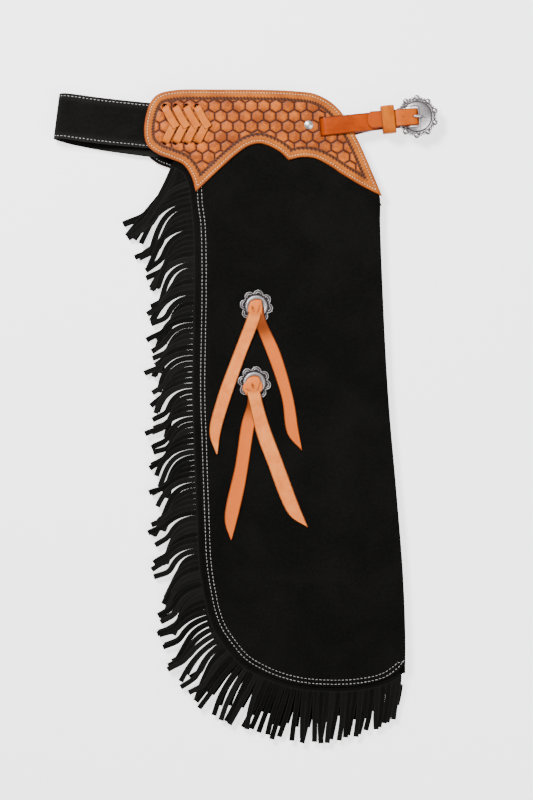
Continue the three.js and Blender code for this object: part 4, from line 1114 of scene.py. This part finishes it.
path, turns = beltPath()
across = acrossAt(turns)
shape = Shape("edge")
halfWidth = beltLook["width"] / 2
sweepBand(shape, path, across, halfWidth, leather["belt"], 25)
belt = shape.make("backBelt", beltSuede, "black_suede", ["back_belt"])
rise = unit(np.cross(directions(path), across))
shape = Shape()
for side in (-1, 1):
    seam = path + across * side * (halfWidth - 3.2) + rise * leather["belt"] / 2
    runs = runsOf(seam)
    count = int(runs[-1] / 4.3)
    for k in range(count):
        at = np.array((k + 0.2, k + 0.8)) * runs[-1] / count
        ends = pointAt(at, runs, seam)
        up = pointAt(at.mean(), runs, rise)
        stitchRow(shape, ends, curveLength(ends) * 0.99, curveLength(ends), 0.36, 0.6, up)
beltThread = shape.make("beltThread", whiteThread, "black_suede")

# Straps at the buckle, measured along the front strap from its slot
buckleLook = dict(
    radius=21.6, berries=10, berry=3.3, berryZ=0.6, bead=1.3, window=17.5, windowEdge=1.9, windowHeight=22.2,
    plateRise=4.0,
)
bucklePlace = slotPlace + strapRun
billetAngle = math.atan2(4.2, 57)
under = panelLow - leather["gap"] - leather["strap"]
half = leather["strap"] / 2
barRadius, barBack, barZ = 0.9, 12.1, 3.9
loopRadius = barRadius + leather["gap"] + half
runZ = barZ + loopRadius
barAlong = math.hypot(*strapRun) - barBack
plateZ = runZ + half + leather["gap"]
overRing = plateZ + buckleLook["berryZ"] + 2.9 + leather["gap"] + half
slotRise = [(-25, 0), (-2.6, 0), (-0.6, 0.03), (1.2, 0.24), (3.4, 0.76), (5.2, 0.97), (7.2, 1)]


def alongStrap(along, z, start=None, angle=strapAngle):
    start = slotPlace if start is None else start
    return (start[0] + along * math.cos(angle), start[1] + along * math.sin(angle), z)


def aheadOf(distance, z):
    return alongStrap(distance, z, bucklePlace, billetAngle)


inside, outside = under + half, strapLow + half
stations = [alongStrap(along, blendTo(inside, outside, rise)) for along, rise in slotRise]
for share, fall in ((0.35, 0), (0.45, 0.22), (0.55, 0.64), (0.63, 0.93), (0.69, 1)):
    stations.append(alongStrap(share * barAlong, blendTo(outside, runZ, fall)))
for k in range(9):
    angle = math.pi / 2 - math.pi * k / 8
    stations.append(alongStrap(barAlong + loopRadius * math.cos(angle), barZ + loopRadius * math.sin(angle)))
stations.append(alongStrap(barAlong - 28, barZ - loopRadius))
path = smoothCurve(stations, step=1.0)
shape = Shape("edge", "shade")
sweepBand(shape, path, acrossAt(strapAngle), 10.65, leather["strap"], 21, 0.25)
shape.make("frontStrap", bridle, "bridle_leather", ["front_strap"])


# Billet: from the lower yoke, along the floor, round under the plate, up through the window and back
billetRows = [
    (5.2, 4.4), (2.1, 5.3), (0.4, 6.9), (0.1, 8.7), (-0.8, 10.8), (-3.4, overRing - 0.4), (-8.6, overRing),
    (-21, overRing), (-26, overRing - 1.9), (-32, overRing - 3.0), (-40, overRing - 3.2),
    (-47, overRing - 3.0), (-57, overRing - 2.5),
]
lowerSlot = slotPlace - (0, legDrop)
floorRun, underPlate = -outside, 4.2
turnTo = aheadOf(10.9, floorRun)
lowerAngle = math.atan2(turnTo[1] - lowerSlot[1], turnTo[0] - lowerSlot[0])
stations, turns = [], []
for along, rise in slotRise:
    stations.append(alongStrap(along, blendTo(-inside, floorRun, rise), lowerSlot, lowerAngle))
    turns.append(lowerAngle)
for share, aside in ((0.3, 4.2), (0.5, 5.7), (0.7, 4.9), (0.85, 3.0), (0.95, 1.0)):
    x, y = np.array(lowerSlot) * (1 - share) + np.array(turnTo[:2]) * share
    stations.append((x - math.sin(lowerAngle) * aside, y + math.cos(lowerAngle) * aside, floorRun))
    turns.append(blendTo(lowerAngle, billetAngle, share))
radius = (underPlate - floorRun) / 2
for k in range(13):
    angle = -math.pi / 2 + math.pi * k / 12
    z = (underPlate + floorRun) / 2 + radius * math.sin(angle)
    stations.append(aheadOf(10.9 + radius * math.cos(angle) * 0.9, z))
    turns.append(billetAngle)
for ahead, z in billetRows:
    stations.append(aheadOf(ahead, z))
    turns.append(billetAngle)
both = smoothCurve([(*p, t * 100) for p, t in zip(stations, turns)], step=0.9)
path, turns = both[:, :3], both[:, 3] / 100
fromTip = curveLength(path) - runsOf(path)
cutBack = 14.0
tipHalf = np.sqrt(np.clip(cutBack ** 2 - (cutBack - np.minimum(fromTip, cutBack)) ** 2, 0, None))
halfWidths = np.minimum(9.8, np.maximum(tipHalf, 0.6))
shape = Shape("edge", "shade", "deep")
sweepBand(shape, path, acrossAt(turns), halfWidths, leather["strap"], 27, 0.2)
points = shape.points[0]
ahead, aside = ((points[:, :2] - bucklePlace) @ turnedBy(-billetAngle)).T
top = points[:, 2] > overRing - 4.5
hole = np.exp(-((ahead + 2.6) / 2.2) ** 2 - (aside / 1.5) ** 2) * top
for place in (-15.5, -28.5):
    hole += 0.55 * np.exp(-((ahead - place) / 0.9) ** 2 - ((aside - 0.3) / 0.9) ** 2) * top
points[:, 2] -= np.clip(hole, 0, 1) * 0.9
shape.marks["shade"][0] = np.clip(hole * 1.3 + 0.95 * (points[:, 2] < plateZ - 1), 0, 1)
shape.marks["deep"][0] = 0.85 * ease(-ahead, 36, 44) * top
shape.make("billetStrap", billetTan, "billet_leather", ["billet_strap"])

# Keeper: a loop round both straps
keeperLook = dict(ahead=-32.9, side=0.3, outer=32.2, wall=1.7, width=15.6, corner=3.4)
low = barZ - loopRadius - half - leather["gap"] - keeperLook["wall"]
high = overRing - 0.3 + leather["gap"] + keeperLook["wall"]
ring, halfWall = [], keeperLook["wall"] / 2
reach, corner = keeperLook["outer"] / 2 - halfWall, keeperLook["corner"] - halfWall
lowMid, highMid = low + halfWall, high - halfWall
for sy, sz, start in ((1, -1, -90), (1, 1, 0), (-1, 1, 90), (-1, -1, 180)):
    for k in range(7):
        angle = math.radians(start + 15 * k)
        cy = sy * (reach - corner) + corner * math.cos(angle)
        cz = (highMid - corner if sz > 0 else lowMid + corner) + corner * math.sin(angle)
        ring.append((cy, cz))
ring = evenly(np.vstack([ring, ring[:1]]), step=0.9)[:-1]
along = np.array([math.cos(strapAngle), math.sin(strapAngle)])
aside = np.array([-math.sin(strapAngle), math.cos(strapAngle)])
centre = bucklePlace + along * keeperLook["ahead"] + aside * keeperLook["side"]
path = np.array([(*(centre + aside * y), z + 0.35 * math.cos(y / reach * math.pi / 2)) for y, z in ring])
shape = Shape("edge", "shade")
sweepBand(shape, path, (*along, 0.0), keeperLook["width"] / 2, keeperLook["wall"], 15, 0.25, closed=True)
points = shape.points[0]
shape.marks["shade"][0] = 0.35 * (1 - ease(points[:, 2], low + 6, high - 2))
shape.make("keeper", keeperTan, "billet_leather", ["keeper"])

# Buckle: a domed, engraved plate with a raised window rim, a rope and a ring of berries
windowLoop = turnedBox((buckleLook["windowEdge"] - buckleLook["window"] / 2, 0), buckleLook["window"],
                       buckleLook["windowHeight"], 0, 1.4, 0.8)
angles = np.arange(200) * math.tau / 200
buckleEdge = circle(200) * (buckleLook["radius"] * (1.0 + 0.018 * np.cos(angles * 30)))[:, None]


def buckleRelief(points):
    x, y = points[:, 0], points[:, 1]
    reach, angle = np.hypot(x, y) / buckleLook["radius"], np.arctan2(y, x)
    profile = [(0.0, 4.0), (0.3, 3.75), (0.45, 3.3), (0.62, 2.6), (0.72, 1.9), (0.765, 1.35), (0.80, 0.85),
               (0.84, 0.9), (0.88, 1.6), (0.93, 1.75), (0.97, 1.6), (1.02, 0.9), (1.1, 0.7)]
    height = np.interp(reach, [p[0] for p in profile], [p[1] for p in profile])
    rope = ease(reach, 0.85, 0.88) * (1 - ease(reach, 0.97, 1.0))
    height += rope * 0.45 * np.sin(angle * 30 + reach * 40)
    gap = nearestOn(points, windowLoop)[0]
    rim = 1 - ease(gap, 0.9, 1.5)
    height += rim * 0.75
    plateArea = (1 - ease(reach, 0.66, 0.72)) * (1 - rim)
    leafX, leafY = x - 3.0, y + 1.0
    leafReach, leafAngle = np.hypot(leafX, leafY), np.arctan2(leafY, leafX)
    veins = np.exp(-(np.sin(leafAngle * 5.5 + np.sin(leafReach * 0.35) * 0.9) / 0.10) ** 2)
    hatch = np.exp(-(np.sin(leafReach * 1.3 + 1.5 * np.cos(leafAngle * 5.5)) / 0.2) ** 2) * 0.5
    height -= plateArea * (0.16 * veins + 0.1 * hatch)
    dark = np.exp(-((reach - 0.80) / 0.04) ** 2) + plateArea * (0.5 * veins + 0.28 * hatch)
    dark += rope * (0.3 + 0.5 * (0.5 - 0.5 * np.sin(angle * 30 + reach * 40))) + ease(reach, 0.97, 1.03) * 0.9
    # painted reflection: the plate's upper left half darker than its lower right
    dark += plateArea * 0.3 * ease(leafY - leafX * 0.5, -6, 12)
    dark += (1 - ease(gap, 1.5, 2.4)) * (1 - rim) * 0.5
    return height, np.clip(dark, 0, 1)


filling = np.vstack([circle(max(6, int(math.tau * r / 0.5))) * r for r in np.arange(0.25, 21.4, 0.45)])
filling = filling[~insideOf(filling, windowLoop)]
filling = filling[nearestOn(filling, windowLoop)[0] > 0.2]
filling = filling[nearestOn(filling, buckleEdge)[0] > 0.2]
shape = Shape("recess")
plate(shape, [buckleEdge, windowLoop], filling, lambda points: buckleRelief(points)[0], 0.0,
      lambda points: dict(recess=buckleRelief(points)[1]), 0.15)


def ball(shape, angle, height, radius, rings, around):
    # one berry or bead of the ring, darker on its lower half
    centre = (buckleLook["radius"] * math.cos(angle), buckleLook["radius"] * math.sin(angle), height)
    points, recess = [], []
    for polar in np.clip(math.pi * np.arange(rings + 1) / rings, 0.05, math.pi - 0.05):
        points.append(inPlan(circle(around) * math.sin(polar), math.cos(polar)) * radius + centre)
        recess += [min(1, max(0, (polar - 0.6) / 0.3)) * 0.92] * around
    shape.add(np.vstack(points), tubeFaces(rings + 1, around), recess=np.array(recess))


for k in range(buckleLook["berries"]):
    angle = math.pi / 2 - strapAngle + math.tau * k / buckleLook["berries"]
    ball(shape, angle, buckleLook["berryZ"], buckleLook["berry"], 14, 24)
    for aside in (-0.13, 0.13):
        ball(shape, angle + math.tau / buckleLook["berries"] * (0.5 + aside), 0.9, buckleLook["bead"], 8, 12)
bar = [(-barBack, y, barZ - plateZ) for y in np.linspace(-13.2, 13.2, 16)]
points = [(-barBack + barRadius * x, y, barZ - plateZ + barRadius * z)
          for _, y, _ in bar for x, z in circle(12)]
shape.add(points, tubeFaces(len(bar), 12))
for side in (-1, 1):
    post = [(-barBack, side * 12.8, z) for z in np.linspace(barZ - plateZ - 0.9, 0.8, 5)]
    sweepBand(shape, post, (1, 0, 0), 0.9, 1.8, 5)
turn = turnedBy(strapAngle)
shape.points = [inPlan(points[:, :2] @ turn + bucklePlace, points[:, 2] + plateZ) for points in shape.points]
shape.make("buckle", silver, "silver", ["buckle"])

# Tongue: hooked round the bar, up through the billet and down on the plate
hook = barRadius + leather["gap"] + 1.0
rows = [
    (-barBack, barZ - hook), (-barBack - hook * 0.8, barZ - hook * 0.6), (-barBack - hook, barZ),
    (-barBack - hook * 0.7, barZ + hook * 0.75), (-barBack + 0.3, barZ + hook),
    (-barBack + 4.0, barZ + hook * 1.7), (-5.2, overRing - 3.3), (-3.8, overRing - 0.6),
    (-2.3, overRing + 1.9), (1.4, overRing + 2.0), (7.4, plateZ + buckleLook["plateRise"] + 1.3),
]
path = smoothCurve([aheadOf(*row) for row in rows], step=0.5)
size = np.interp(np.linspace(0, 1, len(path)), [0, 0.45, 0.72, 0.9, 1.0], [0.9, 1.0, 1.25, 1.0, 0.55])
side = acrossAt(billetAngle)
rise = np.cross(directions(path), side)
x, y = circle(12).T[..., None]
points = [place + reach * (x * side * 1.15 + y * up) for place, reach, up in zip(path, size, rise)]
# painted shade: the tongue's end over the plate darker
recess = np.repeat(0.55 * ease(np.linspace(0, 1, len(path)), 0.80, 0.93), 12)
shape = Shape("recess")
shape.add(np.vstack(points), tubeFaces(len(path), 12), recess=recess)
shape.make("buckleTongue", silver, "silver", ["buckle_tongue"])
print("straps, keeper and buckle made")

# Fringe: a header sewn under the panel's edge, cut into strips that droop to the left and down
fringeLook = dict(header=7.0, length=61.0, width=6.1, pitch=6.3, steps=16, seed=11)
headRows = [(0.120, 0.672), (0.164, 0.722), (0.198, 0.825)]
fringePoints = [onYoke(*row) for row in headRows] + [onLeg(*row) for row in sideRows[1:]]
fringePoints += [onLeg(*row) for row in hemRows[1:-2]] + [onLeg(1.102, 0.969)]
fringePath = smoothCurve(fringePoints, step=1.0)
tangents = directions(fringePath)
outward = np.c_[tangents[:, 1], -tangents[:, 0]]
fringeRuns = np.linspace(0, curveLength(fringePath), len(fringePath))
fringeMid = fringeLow + leather["suede"] / 2
droopAt = [(180, 250), (205, 246), (225, 240), (240, 246), (255, 257), (270, 262)]
lengthAt = [
    (0.0, 1.56), (0.03, 1.57), (0.06, 1.42), (0.11, 1.30), (0.16, 1.10), (0.22, 1.02), (0.6, 1.0),
    (0.66, 1.08), (0.71, 1.17), (0.75, 1.14), (0.79, 1.05), (0.83, 1.01), (0.89, 0.97), (0.95, 0.88),
    (1.0, 0.78),
]


def edgeAt(run):
    return pointAt(run, fringeRuns, fringePath), unit(pointAt(run, fringeRuns, outward))


def stripPlans():
    # one plan for both legs, so that the lower strips lie behind the upper ones and the gaps stay open
    spread = random.Random(fringeLook["seed"])
    plans, late, left = [], 0.5, 0
    count = int(fringeRuns[-1] / fringeLook["pitch"])
    for i in range(count):
        run = (i + 0.5) * fringeRuns[-1] / count
        out = edgeAt(run)[1]
        start = min(266, math.degrees(math.atan2(out[1], out[0])) % 360)
        sideways = float(1 - ease(start, 205, 250))
        first = float(1 - ease(i, 1, 6))
        if left == 0:
            steps = ((2, -0.42), (2, -0.3), (3, -0.2)) if late > 0.6 else ((3, 0.27), (4, 0.2))
            left, step = spread.choice(steps)
        late = min(1.0, max(0.0, late + step + spread.uniform(-0.06, 0.06)))
        left -= 1
        flick = spread.uniform(-6, 6)
        if spread.random() < 0.5 * sideways + 0.04:
            flick = spread.uniform(-52, -32)
        if i in (0, 4):
            flick = -30
        droop = float(np.interp(start, *zip(*droopAt))) + spread.uniform(-5, 5)
        droop += spread.gauss(0, 3) * (1 - sideways)
        plans.append(dict(
            run=run, start=start, late=late * (1 - first), flick=flick * (1 - 0.35 * first),
            droop=droop - 11 * first, lift=spread.uniform(-0.8, 0.8), tone=spread.uniform(0, 1) ** 2 * 0.45,
            length=fringeLook["length"] * (float(np.interp(run / fringeRuns[-1], *zip(*lengthAt)))
                                           + spread.uniform(-0.06, 0.04))))
    return plans


stripTable = stripPlans()


def fringeShape(turned):
    shape = Shape("edge", "tone")
    spread = random.Random(5)
    header = inPlan(fringePath, fringeMid)
    sweepBand(shape, header, inPlan(outward, 0.0), fringeLook["header"], leather["suede"], 5)
    steps, half = fringeLook["steps"], fringeLook["width"] / 2
    fall = midHeight - leather["suede"] - fringeLow
    for plan in stripTable:
        root, out = edgeAt(plan["run"])
        length = plan["length"]
        if turned:
            hem = float(ease(plan["run"] / fringeRuns[-1], 0.66, 0.76))
            run = plan["run"] + legDrop * out[0] + hem * fringeLook["pitch"] * 0.45
            if not 0 <= run <= fringeRuns[-1]:
                continue
            root, out = edgeAt(run)
            length += legDrop * out[1] + spread.uniform(-3, 2) - hem * spread.uniform(12, 27)
        position = root + out * (fringeLook["header"] - 1.5)
        rate = blendTo(2.1, 0.95, plan["late"])
        path, across = [], []
        for k in range(steps + 1):
            share = k / steps
            turn = plan["start"] + (plan["droop"] - plan["start"]) * float(ease(share * rate, -0.12, 1.0))
            turn += plan["flick"] * float(ease(share, 0.55, 0.8))
            heading = math.radians(turn)
            if turned:
                drop = fall * math.sin(math.pi / 2 * min(1, share * 1.5))
                z = fringeMid + drop - abs(plan["lift"]) * share * 0.6
            else:
                z = fringeMid - 6.2 * share - 1.2 * math.sin(share * 3) + plan["lift"] * share
            path.append((*position, z))
            across.append((-math.sin(heading), math.cos(heading), 0.25 * plan["lift"] * share))
            position = position + np.array([math.cos(heading), math.sin(heading)]) * length / steps
        sweepBand(shape, path, across, half, leather["suede"], 3, tone=plan["tone"])
    return shape


for prefix, turned in legs:
    shape = fringeShape(turned)
    shape.make(prefix + "Fringe", fringeSuede, "black_suede", [prefix + "_fringe"], turned)
print("fringes made")

# Threads: two white rows round each panel, one cream row round each yoke
backingArea = (abs(doubleArea(yokeEdge)) - sum(abs(doubleArea(hole)) for hole in yokeHoles)) / 2e6
hemLine = np.vstack([sidePath[1:], hemPath[1:]])
hemLine = smoothCurve(hemLine[::6], step=1.5)
hemTangent = directions(hemLine)
hemInward = np.c_[-hemTangent[:, 1], hemTangent[:, 0]]
for prefix, turned in legs:
    shape = Shape()
    for depth in (2.9, 7.6):
        row = hemLine + hemInward * depth
        row = np.vstack([row[row[:, 0] < foldPath[-1, 0] - 7], foldPath[-1] + (-1.2, 7.4 - depth * 0.6)])
        stitchRow(shape, inPlan(row, panelTop + 0.1), 4.3, 2.8, 0.36)
    inset = offsetPoints(yokeEdge, 3.5, 1.0)
    loop = np.vstack([inset, inset[:1]])
    stitchRow(shape, inPlan(loop, panelLow - 0.1), 3.3, 1.9, 0.3)
    threads = shape.make(prefix + "WhiteThread", whiteThread, "black_suede", (), turned)
    shape = Shape()
    stitchRow(shape, inPlan(loop, yokeTop - 0.02), 3.3, 2.0, 0.55)
    shape.make(prefix + "CreamThread", creamThread, "tooled_leather", (), turned)
print("threads made")

# Floor, light and camera
floorMesh = bpy.data.meshes.new("floor")
floorMesh.from_pydata([(-4, -4, 0), (4, -4, 0), (4, 4, 0), (-4, 4, 0)], [], [(0, 1, 2, 3)])
floor = bpy.data.objects.new("floor", floorMesh)
bpy.context.scene.collection.objects.link(floor)
paper = Finish("paper")
pale = paper.mix(paper.noise(3), tone(252, 252, 252), tone(255, 255, 255))
floorMesh.materials.append(paper.wear(pale, 0.9, Emission_Strength=1.9, Emission_Color=(1.0, 1.0, 1.0, 1.0)))

world = bpy.data.worlds.new("studio")
bpy.context.scene.world = world
world.use_nodes = True
sky = world.node_tree
direction = sky.nodes.new("ShaderNodeTexCoord")
facing = sky.nodes.new("ShaderNodeVectorMath")
facing.operation = "DOT_PRODUCT"
facing.inputs[1].default_value = (-0.45, 0.5, 0.74)
ramp = sky.nodes.new("ShaderNodeMapRange")
ramp.interpolation_type = "SMOOTHSTEP"
for socket, value in zip(ramp.inputs[1:5], (0.3, 0.95, 0.9, 3.2)):
    socket.default_value = value
sky.links.new(direction.outputs["Generated"], facing.inputs[0])
sky.links.new(facing.outputs["Value"], ramp.inputs[0])
sky.links.new(ramp.outputs[0], sky.nodes["Background"].inputs[1])


def areaLight(name, place, target, size, power):
    data = bpy.data.lights.new(name, "AREA")
    data.shape, data.size, data.energy = "DISK", size, power
    light = bpy.data.objects.new(name, data)
    light.location = place
    light.rotation_euler = (Vector(target) - Vector(place)).to_track_quat("-Z", "Y").to_euler()
    bpy.context.scene.collection.objects.link(light)


areaLight("key", (-0.9, 1.3, 1.7), (0, 0.1, 0), 0.7, 95)
areaLight("fill", (1.5, -0.8, 1.9), (0, 0, 0), 2.2, 52)

view = bpy.data.cameras.new("camera")
view.lens, view.sensor_width, view.sensor_fit = 156.5, 36, "AUTO"
camera = bpy.data.objects.new("camera", view)
camera.location = (0.0238, 0.0248, 4.012)
bpy.context.scene.collection.objects.link(camera)
bpy.context.scene.camera = camera
